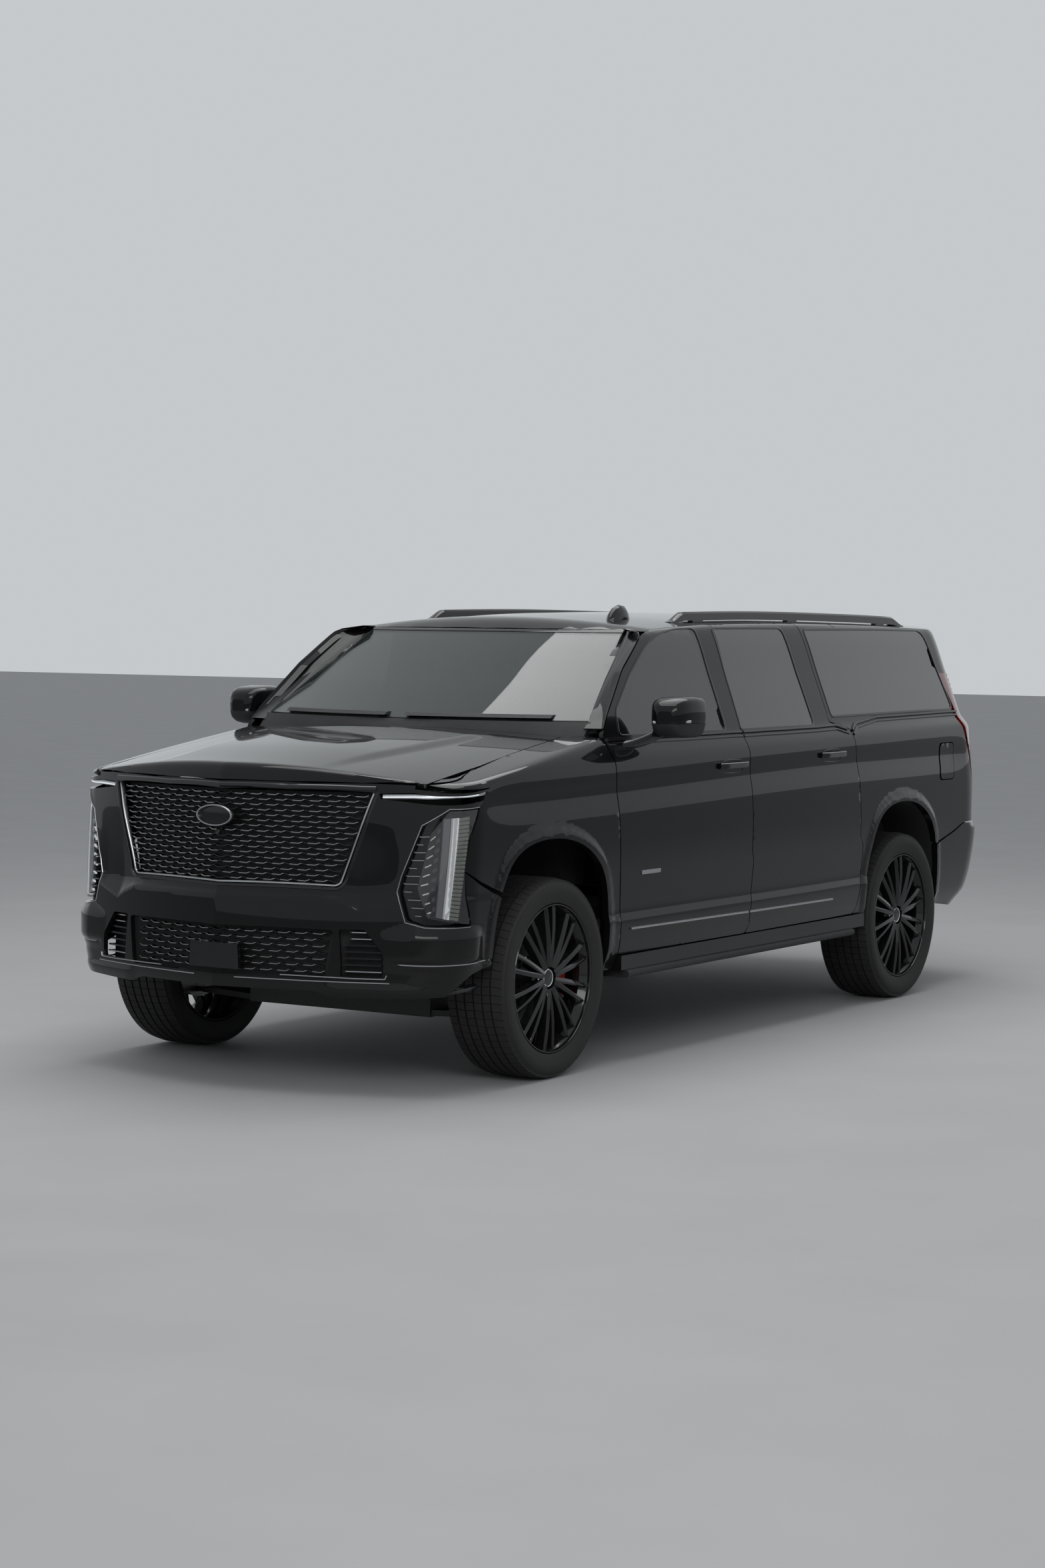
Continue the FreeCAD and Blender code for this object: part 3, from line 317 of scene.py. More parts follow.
# Crowned surfaces: y, height at the middle, cross radius
HOOD_CROWN = np.array(((-2.95, 1.301, 3.15), (-1.3, 1.476, 7.2)))
ROOF_CROWN = np.array((
    (-1.8, 1.860, 5.2), (-0.79, 1.912, 5.6), (-0.2, 1.934, 6.2), (0.5, 1.941, 6.2),
    (1.5, 1.932, 6.2), (3.0, 1.896, 6.2)))


def curve_through(xs, ys, x):
    """A smooth curve through the points that never overshoots them."""
    steps = np.diff(xs)
    slopes = np.diff(ys) / steps
    product = slopes[:-1] * slopes[1:]
    total = np.where(np.abs(slopes[:-1] + slopes[1:]) < 1e-9, 1.0, slopes[:-1] + slopes[1:])
    tangents = np.concatenate(([slopes[0]], np.where(product > 0, 2 * product / total, 0.0), [slopes[-1]]))
    k = np.clip(np.searchsorted(xs, x) - 1, 0, len(steps) - 1)
    t = np.clip((x - xs[k]) / steps[k], 0.0, 1.0)
    h = steps[k]
    return (ys[k] * (1 + 2 * t) * (1 - t) ** 2 + h * tangents[k] * t * (1 - t) ** 2
            + ys[k + 1] * t * t * (3 - 2 * t) + h * tangents[k + 1] * t * t * (t - 1))


def crown(sections, x, y):
    """Heights of a crowned top whose arc changes from front to back."""
    top = curve_through(sections[:, 0], sections[:, 1], y)
    radius = np.interp(y, sections[:, 0], sections[:, 2])
    return top - (radius - np.sqrt(radius ** 2 - x ** 2))


def touching(a, ra, b, rb, sign):
    """Centres at distance ra from a and rb from b, the pair member with the least sign * y."""
    gap = b - a
    length = np.linalg.norm(gap, axis=1)
    along = (ra ** 2 - rb ** 2 + length ** 2) / (2 * length)
    across = np.sqrt(np.maximum(ra ** 2 - along ** 2, 0.0))[:, None]
    u = gap / length[:, None]
    n = np.stack((-u[:, 1], u[:, 0]), 1)
    foot = a + u * along[:, None]
    one, two = foot + n * across, foot - n * across
    return np.where((sign * one[:, 1] < sign * two[:, 1])[:, None], one, two)


def plan_point(levels, h, segment, share, low=None, high=None):
    """Points and plan normals of closed outlines at heights h, a share along one of five arcs."""
    h, segment, share = np.broadcast_arrays(h, segment, share)
    shape = h.shape
    h, segment, share = h.ravel(), segment.ravel(), share.ravel()
    half, nose, tail, front_r, back_r, last = [curve_through(levels[:, 0], c, h) for c in levels[:, 1:].T]
    is_body = levels is BODY_LEVELS
    arc = np.full_like(h, NOSE_ARC) if is_body else last
    bend = NOSE_BEND if is_body else 0.0
    zero = np.zeros_like(h)
    nose_c = np.stack((-arc * math.sin(bend), nose + arc * math.cos(bend)), 1)
    side_c = np.stack((half - SIDE_ARC, zero), 1)
    tail_c = np.stack((zero, tail - TAIL_ARC), 1)
    front_c = touching(nose_c, arc - front_r, side_c, SIDE_ARC - front_r, 1.0)
    back_c = touching(side_c, SIDE_ARC - back_r, tail_c, TAIL_ARC - back_r, -1.0)
    stops = [np.stack((zero, nose), 1)]
    for centre, corner, radius in ((nose_c, front_c, front_r), (side_c, front_c, front_r),
                                   (side_c, back_c, back_r), (tail_c, back_c, back_r)):
        out = corner - centre
        stops.append(corner + out * (radius / np.linalg.norm(out, axis=1))[:, None])
    stops.append(np.stack((zero, tail), 1))
    centres = np.stack((nose_c, front_c, side_c, back_c, tail_c), 1)
    pick = np.arange(len(h))
    stops = np.stack(stops, 1)
    start, end, centre = stops[pick, segment], stops[pick, segment + 1], centres[pick, segment]
    a0 = np.arctan2(*(start - centre).T[::-1])
    a1 = np.arctan2(*(end - centre).T[::-1])
    turn = (a1 - a0 + math.pi) % (2 * math.pi) - math.pi
    radius = np.linalg.norm(start - centre, axis=1)
    angle = a0 + share * turn
    y_low = start[:, 1] if low is None else low
    y_high = end[:, 1] if high is None else high
    side_y = y_low + share * (y_high - y_low)
    angle = np.where(segment == 2, np.arcsin(side_y / SIDE_ARC), angle)
    normal = np.stack((np.cos(angle), np.sin(angle)), 1)
    point = centre + normal * radius[:, None]
    return point.reshape(shape + (2,)), normal.reshape(shape + (2,))


def body_point(z, segment, share, **ends):
    """Surface points below the glass at heights z, whose sections rise with y."""
    z = np.asarray(z, float)
    h = z.copy() if z.ndim else z
    for _ in range(8):
        point, normal = plan_point(BODY_LEVELS, h, segment, share, **ends)
        h = z - np.interp(h, BODY_LEVELS[:, 0], BODY_LEVELS[:, 6]) * point[..., 1]
    return point, normal


def smoothstep(x, low, high):
    """A soft ramp from 0 at low to 1 at high."""
    t = np.clip((x - low) / (high - low), 0.0, 1.0)
    return t * t * (3 - 2 * t)


def soften(table, spread):
    """The table smoothed along its rows' direction, with its ends held."""
    reach = int(3 * spread) + 1
    weights = np.exp(-0.5 * (np.arange(-reach, reach + 1) / spread) ** 2)
    weights /= weights.sum()
    first, last = table[:1], table[-1:]
    head = 2 * first - table[reach:0:-1]
    foot = 2 * last - table[-2:-reach - 2:-1]
    padded = np.concatenate((head, table, foot))
    return sum(w * padded[i:i + len(table)] for i, w in enumerate(weights))


class Surface:
    """A grid of points, and the places on it that a view of it names."""

    reach = (-9.0, 9.0)

    def __init__(self, table, step):
        self.table = table
        self.step = step

    def at(self, places):
        """Points at grid places, in metres along the two directions of the grid."""
        u = np.clip(places / self.step, 0.0, np.array(self.table.shape[:2]) - 1.001)
        i, j = u.astype(int).T
        a, b = (u - np.floor(u)).T[:, :, None]
        t = self.table
        return (t[i, j] * (1 - a) * (1 - b) + t[i + 1, j] * a * (1 - b)
                + t[i, j + 1] * (1 - a) * b + t[i + 1, j + 1] * a * b)

    def locate(self, points, axes):
        """The grid places of points that are given by two of their coordinates."""
        flat = self.table[:, :, list(axes)]
        along_y = self.table[:, :, 1]
        out = ((along_y < self.reach[0]) | (along_y > self.reach[1])) * (9.0 if tuple(axes) == (0, 2)
                else 0.0)
        places = []
        for point in points:
            near = ((flat - np.array(point)) ** 2).sum(2) + out
            place = np.array(np.unravel_index(near.argmin(), near.shape), float) * self.step
            for _ in range(6):
                here = self.at(place[None])[0][list(axes)]
                d = self.step * 0.5
                slope = np.stack([(self.at((place + o)[None])[0]
                        - self.at((place - o)[None])[0])[list(axes)]
                                  / (2 * d) for o in (np.array((d, 0.0)), np.array((0.0, d)))], 1)
                if abs(np.linalg.det(slope)) < 1e-6:
                    break
                place = place + np.clip(np.linalg.solve(slope, np.array(point) - here), -0.02, 0.02)
            places.append(place)
        return np.array(places)

    def normals(self, places):
        d = self.step * 1.5
        along = self.at(places + (d, 0.0)) - self.at(places - (d, 0.0))
        up = self.at(places + (0.0, d)) - self.at(places - (0.0, d))
        n = np.cross(along, up)
        return n / np.maximum(np.linalg.norm(n, axis=1), 1e-12)[:, None]


def front_table():
    """Nose, corner and front side up to the bonnet's crown and inwards over it."""
    step = 0.008
    columns = [(0, t) for t in np.linspace(0, 1, 110, endpoint=False)]
    columns += [(1, t) for t in np.linspace(0, 1, 46, endpoint=False)]
    columns += [(2, t) for t in np.linspace(0, 1, 140)]
    segment, share = np.array(columns).T
    segment = segment.astype(int)
    ends = {"high": np.full(len(segment), -1.28)}
    low, high = np.full(len(segment), 1.2), np.full(len(segment), 1.46)
    for _ in range(22):
        middle = (low + high) / 2
        point, _ = body_point(middle, segment, share, **ends)
        above = middle > crown(HOOD_CROWN, point[:, 0], point[:, 1])
        low, high = np.where(above, low, middle), np.where(above, middle, high)
    rows = []
    count = 130
    for j in range(count):
        z = 0.33 + (low - 0.33) * j / (count - 1.0)
        point, normal = body_point(z, segment, share, **ends)
        rows.append(np.concatenate((point, z[:, None]), 1))
    for j in range(1, 30):
        inner = point - normal * (j * step)
        rows.append(np.concatenate((inner, crown(HOOD_CROWN, inner[:, 0], inner[:, 1])[:, None]), 1))
    return Surface(soften(np.array(rows), 1.9).transpose(1, 0, 2), step)


def side_table():
    """Sides, rear corner and tail from the sill up over the belt to the roof and inwards."""
    step = 0.01
    columns = [(2, t) for t in np.linspace(0, 1, 370, endpoint=False)]
    columns += [(3, t) for t in np.linspace(0, 1, 60, endpoint=False)]
    columns += [(4, t) for t in np.linspace(0, 1, 60)]
    segment, share = np.array(columns).T
    segment = segment.astype(int)
    ends = {"low": np.full(len(segment), -1.46)}
    low, high = np.full(len(segment), 1.6), np.full(len(segment), 1.94)
    for _ in range(20):
        middle = (low + high) / 2
        point, _ = plan_point(CABIN_LEVELS, middle, segment, share, **ends)
        above = middle > crown(ROOF_CROWN, point[:, 0], point[:, 1])
        low, high = np.where(above, low, middle), np.where(above, middle, high)
    rows = []
    count = 156
    for j in range(count):
        z = 0.33 + (low - 0.33) * j / (count - 1.0)
        below, below_n = body_point(np.minimum(z, 1.46), segment, share, **ends)
        over, over_n = plan_point(CABIN_LEVELS, np.maximum(z, 1.395), segment, share, **ends)
        w = smoothstep(z, 1.385, 1.43)[:, None]
        point = below * (1 - w) + over * w
        normal = below_n * (1 - w) + over_n * w
        rows.append(np.concatenate((point, z[:, None]), 1))
    for j in range(1, 24):
        inner = point - normal * (j * step)
        rows.append(np.concatenate((inner, crown(ROOF_CROWN, inner[:, 0], inner[:, 1])[:, None]), 1))
    return Surface(soften(np.array(rows), 1.3).transpose(1, 0, 2), step)


def hood_table():
    """The bonnet from its front face up over the edge and back to the screen."""
    step = 0.01
    xs = np.arange(0.0, 0.871, step)
    segment = np.repeat((0, 1), 120)
    share = np.tile(np.linspace(0, 1, 120), 2)
    face = []
    heights = np.arange(1.19, 1.45, step)
    for z in heights:
        point, _ = body_point(np.full(240, z), segment, share)
        face.append(np.interp(xs, point[:, 0], point[:, 1]))
    face = np.array(face)
    excess = heights[:, None] - crown(HOOD_CROWN, np.broadcast_to(xs, face.shape), face)
    columns = []
    for i, x in enumerate(xs):
        edge = np.interp(0.0, excess[:, i], heights)
        up = np.linspace(1.19, edge, 15)
        y_up = np.interp(up, heights, face[:, i])
        back = np.linspace(y_up[-1], -1.38, 150)[1:]
        y_all = np.concatenate((y_up, back))
        z_all = np.concatenate((up, crown(HOOD_CROWN, np.full_like(back, x), back)))
        columns.append(np.stack((np.full_like(y_all, x), y_all, z_all), 1))
    return Surface(soften(np.array(columns).transpose(1, 0, 2), 1.2).transpose(1, 0, 2), step)


def roof_table():
    """The roof panel seen from above, rounded into the cabin's upper sides."""
    step = 0.012
    xs = np.arange(0.0, 0.83, step)
    ys = np.arange(-0.96, 2.63, step)
    x, y = np.meshgrid(xs, ys, indexing="ij")
    segment = np.repeat(np.arange(5), 60)
    share = np.tile(np.linspace(0, 1, 60), 5)
    turn = np.arctan2(y - 0.9, x)
    reach = np.hypot(x, y - 0.9)
    heights = np.linspace(1.80, 1.95, 16)
    slack = []
    for z in heights:
        point, _ = plan_point(CABIN_LEVELS, np.full(len(share), z), segment, share)
        angle = np.arctan2(point[:, 1] - 0.9, point[:, 0])
        slack.append(reach - np.interp(turn, angle, np.hypot(point[:, 0], point[:, 1] - 0.9)))
    slack = np.array(slack)
    side = np.full(x.shape, 2.2)
    for k in range(len(heights) - 1):
        a, b = slack[k], slack[k + 1]
        inside = (a <= 0) & (b > 0)
        side = np.where(inside, heights[k] + (heights[k + 1] - heights[k]) * (-a) / (b - a + 1e-12), side)
    side = np.where(slack[0] > 0, heights[0] - slack[0] * 1.2, side)
    top = crown(ROOF_CROWN, x, y)
    blend = 0.012
    gap = np.clip(0.5 + 0.5 * (side - top) / (2 * blend), 0.0, 1.0)
    z = side * (1 - gap) + top * gap - 2 * blend * gap * (1 - gap)
    return Surface(np.stack((x, y, z), 2), step)


def rounded(points, rounds=2, share=0.25, closed=True):
    """The outline with its corners cut off again and again."""
    points = np.array(points, float)
    for _ in range(rounds):
        following = np.roll(points, -1, 0)
        cut = np.stack((points * (1 - share) + following * share, points * share + following * (1 - share)),
                       1)
        cut = cut.reshape(-1, points.shape[1])
        points = cut if closed else np.concatenate((points[:1], cut[1:-3], points[-1:]))
    return points


def nicked(points, size, turns=5):
    """The outline with every corner rounded by about size, which may be one value per corner."""
    points = np.array(points, float)
    sizes = np.broadcast_to(size, (len(points),))
    result = []
    for k, point in enumerate(points):
        before, after = points[k - 1], points[(k + 1) % len(points)]
        a, b = before - point, after - point
        la, lb = np.linalg.norm(a), np.linalg.norm(b)
        cut = min(sizes[k], 0.45 * la, 0.45 * lb)
        if cut < 1e-4:
            result.append(point)
            continue
        p, q = point + a / la * cut, point + b / lb * cut
        for t in np.linspace(0, 1, turns):
            result.append(p * (1 - t) ** 2 + 2 * point * t * (1 - t) + q * t * t)
    return np.array(result)


def stepped(outline, step):
    """The closed outline with points no further apart than step."""
    result = []
    for a, b in zip(outline, np.roll(outline, -1, 0)):
        count = max(1, int(math.ceil(np.linalg.norm(b - a) / step)))
        result += [a + (b - a) * t / count for t in range(count)]
    return np.array(result)


def within(points, outline):
    """Which points lie inside a closed outline."""
    x, y = points.T
    inside = np.zeros(len(points), bool)
    for (ax, ay), (bx, by) in zip(outline, np.roll(outline, -1, 0)):
        crosses = (ay > y) != (by > y)
        at = ax + (y - ay) * (bx - ax) / (by - ay + 1e-15)
        inside ^= crosses & (x < at)
    return inside


def away(points, outline):
    """Distances from points to a closed outline."""
    best = np.full(len(points), 1e9)
    for a, b in zip(outline, np.roll(outline, -1, 0)):
        ab = b - a
        t = np.clip(((points - a) @ ab) / max(ab @ ab, 1e-15), 0.0, 1.0)
        best = np.minimum(best, np.linalg.norm(points - a - t[:, None] * ab, axis=1))
    return best


def fill(outline, holes, step):
    """Points and triangles of an even mesh inside the outline and outside the holes."""
    loops = [stepped(outline, step)] + [stepped(h, step) for h in holes]
    low, high = loops[0].min(0), loops[0].max(0)
    us, vs = np.meshgrid(np.arange(low[0], high[0], step), np.arange(low[1], high[1], step))
    vs = vs.copy()
    lattice = np.stack((us.ravel(), vs.ravel()), 1)
    keep = within(lattice, loops[0]) & (away(lattice, loops[0]) > 0.55 * step)
    for hole in loops[1:]:
        keep &= ~within(lattice, hole) & (away(lattice, hole) > 0.55 * step)
    lattice = lattice[keep]
    points = np.concatenate(loops + [lattice])
    edges = []
    start = 0
    for loop in loops:
        edges += [(start + k, start + (k + 1) % len(loop)) for k in range(len(loop))]
        start += len(loop)
    out = geometry.delaunay_2d_cdt([Vector(p) for p in points], edges, [], 0, 1e-7)
    places = np.array([tuple(v) for v in out[0]])
    triangles = np.array(out[2])
    middle = places[triangles].mean(1)
    keep = within(middle, loops[0])
    for hole in loops[1:]:
        keep &= ~within(middle, hole)
    return places, triangles[keep]


def closed_shell(outer, inner, triangles, seam=None):
    """Vertices and faces of the solid between two sheets; edges on the seam stay open."""
    count = len(outer)
    directed = {}
    for a, b, c in triangles:
        for edge in ((a, b), (b, c), (c, a)):
            directed[edge] = True
    faces = [tuple(int(v) for v in t) for t in triangles]
    faces += [tuple(int(v) + count for v in t[::-1]) for t in triangles]
    for a, b in directed:
        if (b, a) not in directed and not (seam is not None and seam[a] and seam[b]):
            faces.append((int(b), int(a), int(a) + count, int(b) + count))
    return np.concatenate((outer, inner)), faces


def new_object(name, points, faces, material, smooth=35.0):
    """A mesh object with one finish, sharp only past the smooth angle."""
    mesh = bpy.data.meshes.new(name)
    mesh.from_pydata([tuple(p) for p in points], [], faces)
    mesh.materials.append(material)
    mesh.polygons.foreach_set("use_smooth", [True] * len(mesh.polygons))
    mesh.set_sharp_from_angle(angle=math.radians(smooth))
    mesh.update()
    obj = bpy.data.objects.new(name, mesh)
    bpy.context.scene.collection.objects.link(obj)
    return obj


def bevelled(obj, width=0.002, segments=2, limit=50.0):
    """Rounds the sharp edges a little."""
    bevel = obj.modifiers.new("edges", "BEVEL")
    bevel.width = width
    bevel.segments = segments
    bevel.limit_method = "ANGLE"
    bevel.angle_limit = math.radians(limit)
    bevel.use_clamp_overlap = True
    return obj


def panel(name, surface, outline, holes, thick, material, side=1.0, step=0.018, push=None, lean=0.0,
          whole=False, bevel=0.002):
    """A thick panel cut out of a surface. whole joins it to its mirror image at x = 0."""
    places, triangles = fill(outline, holes, step)
    points = surface.at(places)
    normals = surface.normals(places)
    outward = np.sign((normals[:, 0] * points[:, 0] + normals[:, 1] * (points[:, 1] - 0.3)
                       + normals[:, 2] * (points[:, 2] - 0.9)).sum()) or 1.0
    normals = normals * outward
    if push is not None:
        points = points + normals * push(points)[:, None]
    depth = thick(points) if callable(thick) else np.full(len(points), thick)
    inner = points - normals * depth[:, None]
    if lean:
        inner[:, 1] -= depth * (lean(points) if callable(lean) else lean)
    a, b, c = points[triangles].transpose(1, 0, 2)
    facing = np.einsum("ij,ij->i", np.cross(b - a, c - a), normals[triangles[:, 0]])
    triangles = np.where((facing < 0)[:, None], triangles[:, ::-1], triangles)
    seam = None
    if whole:
        seam = np.abs(points[:, 0]) < 1e-4
        points[seam, 0] = 0.0
        inner[seam, 0] = 0.0
    vertices, faces = closed_shell(points, inner, triangles, seam)
    if whole:
        count = len(vertices)
        flipped = vertices * (-1.0, 1.0, 1.0)
        middle = np.tile(seam, 2)
        target = np.where(middle, np.arange(count), np.arange(count) + count)
        faces = faces + [tuple(int(target[v]) for v in f[::-1]) for f in faces]
        vertices = np.concatenate((vertices, flipped))
    elif side < 0:
        vertices = vertices * (-1.0, 1.0, 1.0)
        faces = [f[::-1] for f in faces]
    obj = new_object(name, vertices, faces, material)
    if whole:
        work = bmesh.new()
        work.from_mesh(obj.data)
        bmesh.ops.delete(work, geom=[v for v in work.verts if not v.link_faces], context="VERTS")
        work.to_mesh(obj.data)
        work.free()
    return bevelled(obj, bevel) if bevel else obj


def screen_table():
    """The windscreen and its pillars, from the cowl to the roof."""
    step = 0.01
    columns = [(0, t) for t in np.linspace(0, 1, 84, endpoint=False)]
    columns += [(1, t) for t in np.linspace(0, 1, 24, endpoint=False)]
    columns += [(2, t) for t in np.linspace(0, 1, 60)]
    segment, share = np.array(columns).T
    segment = segment.astype(int)
    rows = []
    for z in np.arange(1.40, 1.905, step):
        high = np.full(len(segment), -0.45 - (1.9 - z) * 1.2)
        point, _ = plan_point(CABIN_LEVELS, np.full(len(segment), z), segment, share, high=high)
        rows.append(np.concatenate((point, np.full((len(segment), 1), z)), 1))
    return Surface(np.array(rows).transpose(1, 0, 2), step)


AXES = {"xy": (0, 1), "yz": (1, 2), "xz": (0, 2)}


def trace(surface, runs):
    """Grid places of an outline given as runs of points, each run in one view."""
    return np.concatenate([surface.locate(points, AXES[view]) for view, points in runs])


ARCH = ((-0.447, 0.30), (-0.447, 0.64), (-0.388, 0.82), (-0.313, 0.94), (-0.15, 1.001), (0.08, 1.002),
        (0.262, 0.948), (0.398, 0.836), (0.447, 0.647), (0.446, 0.30))


def arch_curve(axle_y):
    """The smooth opening of a wheel arch, as y and z from front to back."""
    return rounded(ARCH, 3, closed=False) + (axle_y, 0.0)


def arch_part(axle_y, z_front, z_back):
    """The stretch of an arch between its front foot and back foot heights."""
    curve = arch_curve(axle_y)
    front, back = curve[curve[:, 0] < axle_y], curve[curve[:, 0] >= axle_y]
    front, back = front[front[:, 1] > z_front], back[back[:, 1] > z_back]
    return np.concatenate((front, back))


def low_arch(low, high):
    """The front foot of the front arch between two heights, from top to bottom."""
    curve = arch_part(FRONT_AXLE_Y, low, 2.0)
    return curve[curve[:, 1] < high]


def arch_flare(points):
    """How far the skin stands out close to the wheel arches."""
    rise = np.zeros(len(points))
    for axle_y in (FRONT_AXLE_Y, REAR_AXLE_Y):
        near = np.abs(points[:, 1] - axle_y) < 0.6
        if near.any():
            curve = arch_curve(axle_y)
            d = np.sqrt(((points[near][:, None, 1:] - curve[None]) ** 2).sum(2)).min(1)
            rise[near] += 0.007 * (1 - smoothstep(d, 0.034, 0.05))
    return rise


def side_form(points):
    """The sculpting of the flanks: a hollow under the shoulder and a line low down."""
    y, z = points[:, 1], points[:, 2]
    upright = smoothstep(np.abs(points[:, 0]), 0.9, 0.97)
    shoulder = 1.246 + 0.03 * smoothstep(y, -2.4, 0.9) * 2.0
    hollow = -0.007 * np.exp(-((z - shoulder + 0.09) / 0.055) ** 2)
    low = -0.009 * smoothstep(z, 0.60, 0.66) * (1 - smoothstep(z, 0.66, 0.95))
    fade = 1 - smoothstep(np.abs(y), 2.1, 2.45)
    return (hollow + low) * upright * fade + arch_flare(points)


front = front_table()
flank = side_table()
hood_top = hood_table()
roof_top = roof_table()
screen = screen_table()
front.reach = (-9.0, -2.30)
flank.reach = (1.7, 9.0)
hood_top.reach = (-9.0, -2.30)

FENDER_FRONT = ((-2.347, 1.232), (-2.414, 1.158), (-2.469, 1.038), (-2.494, 0.900), (-2.300, 0.812))
FRONT_DOOR = ((-1.324, 0.470), (-1.324, 0.620), (-1.384, 1.297), (-1.398, 1.415), (-1.316, 1.500),
              (-1.104, 1.686), (-0.868, 1.838))
REAR_DOOR = ((0.756, 1.416), (0.928, 1.380), (0.968, 1.169), (0.968, 0.470))
FRONT_WINDOW = ((-1.262, 1.410), (-1.244, 1.512), (-1.047, 1.668), (-0.849, 1.798), (-0.690, 1.846),
                (-0.540, 1.866), (-0.372, 1.868), (-0.322, 1.410))
REAR_WINDOW = ((-0.170, 1.410), (-0.204, 1.868), (0.500, 1.868), (0.577, 1.410))
QUARTER_WINDOW = ((0.806, 1.446), (0.740, 1.862), (2.180, 1.858), (2.330, 1.450))
GRILLE = ((-0.655, 1.213), (0.655, 1.213), (0.534, 0.833), (-0.534, 0.833))
INTAKE = ((0.517, 0.664), (0.485, 0.468))
SIDE_INTAKE = ((0.535, 0.668), (0.636, 0.668), (0.708, 0.575), (0.708, 0.480), (0.545, 0.480))
LIP = ((0.500, 0.394), (0.440, 0.417), (0.0, 0.417))
LAMP_INNER = ((0.918, 1.146), (0.833, 1.081), (0.769, 0.880), (0.757, 0.821), (0.790, 0.706),
              (0.855, 0.687))
LAMP_OUTER = ((-2.462, 0.683), (-2.492, 0.800), (-2.497, 0.900), (-2.472, 1.038), (-2.417, 1.158))

LEAN_BACK = 0.14
PANEL_THICK = 0.03
FRONT_WINDOW_CORNERS = (0.03, 0.03, 0.03, 0.1, 0.06, 0.05, 0.03, 0.02)
REAR_WINDOW_CORNERS = (0.02, 0.03, 0.03, 0.02)
QUARTER_WINDOW_CORNERS = (0.02, 0.03, 0.06, 0.04)
DOOR_CORNER = 0.012
ROOF_SEAM_X = 0.776
SILL_TOP_Z = 0.47
FRONT_DOOR_BACK_Y = -0.183
REAR_DOOR_FRONT_Y = -0.177


def door_depth(points):
    """Doors are thick below the glass and slim round it."""
    depth = 0.108 - 0.064 * smoothstep(points[:, 2], 1.37, 1.41)
    sail = (points[:, 1] < -1.255) & (points[:, 2] > 1.38)
    corner = (points[:, 2] > 1.65) & (points[:, 1] > -0.2) & (points[:, 1] < -0.03)
    return np.where(sail, 0.020, np.where(corner, 0.018, depth))


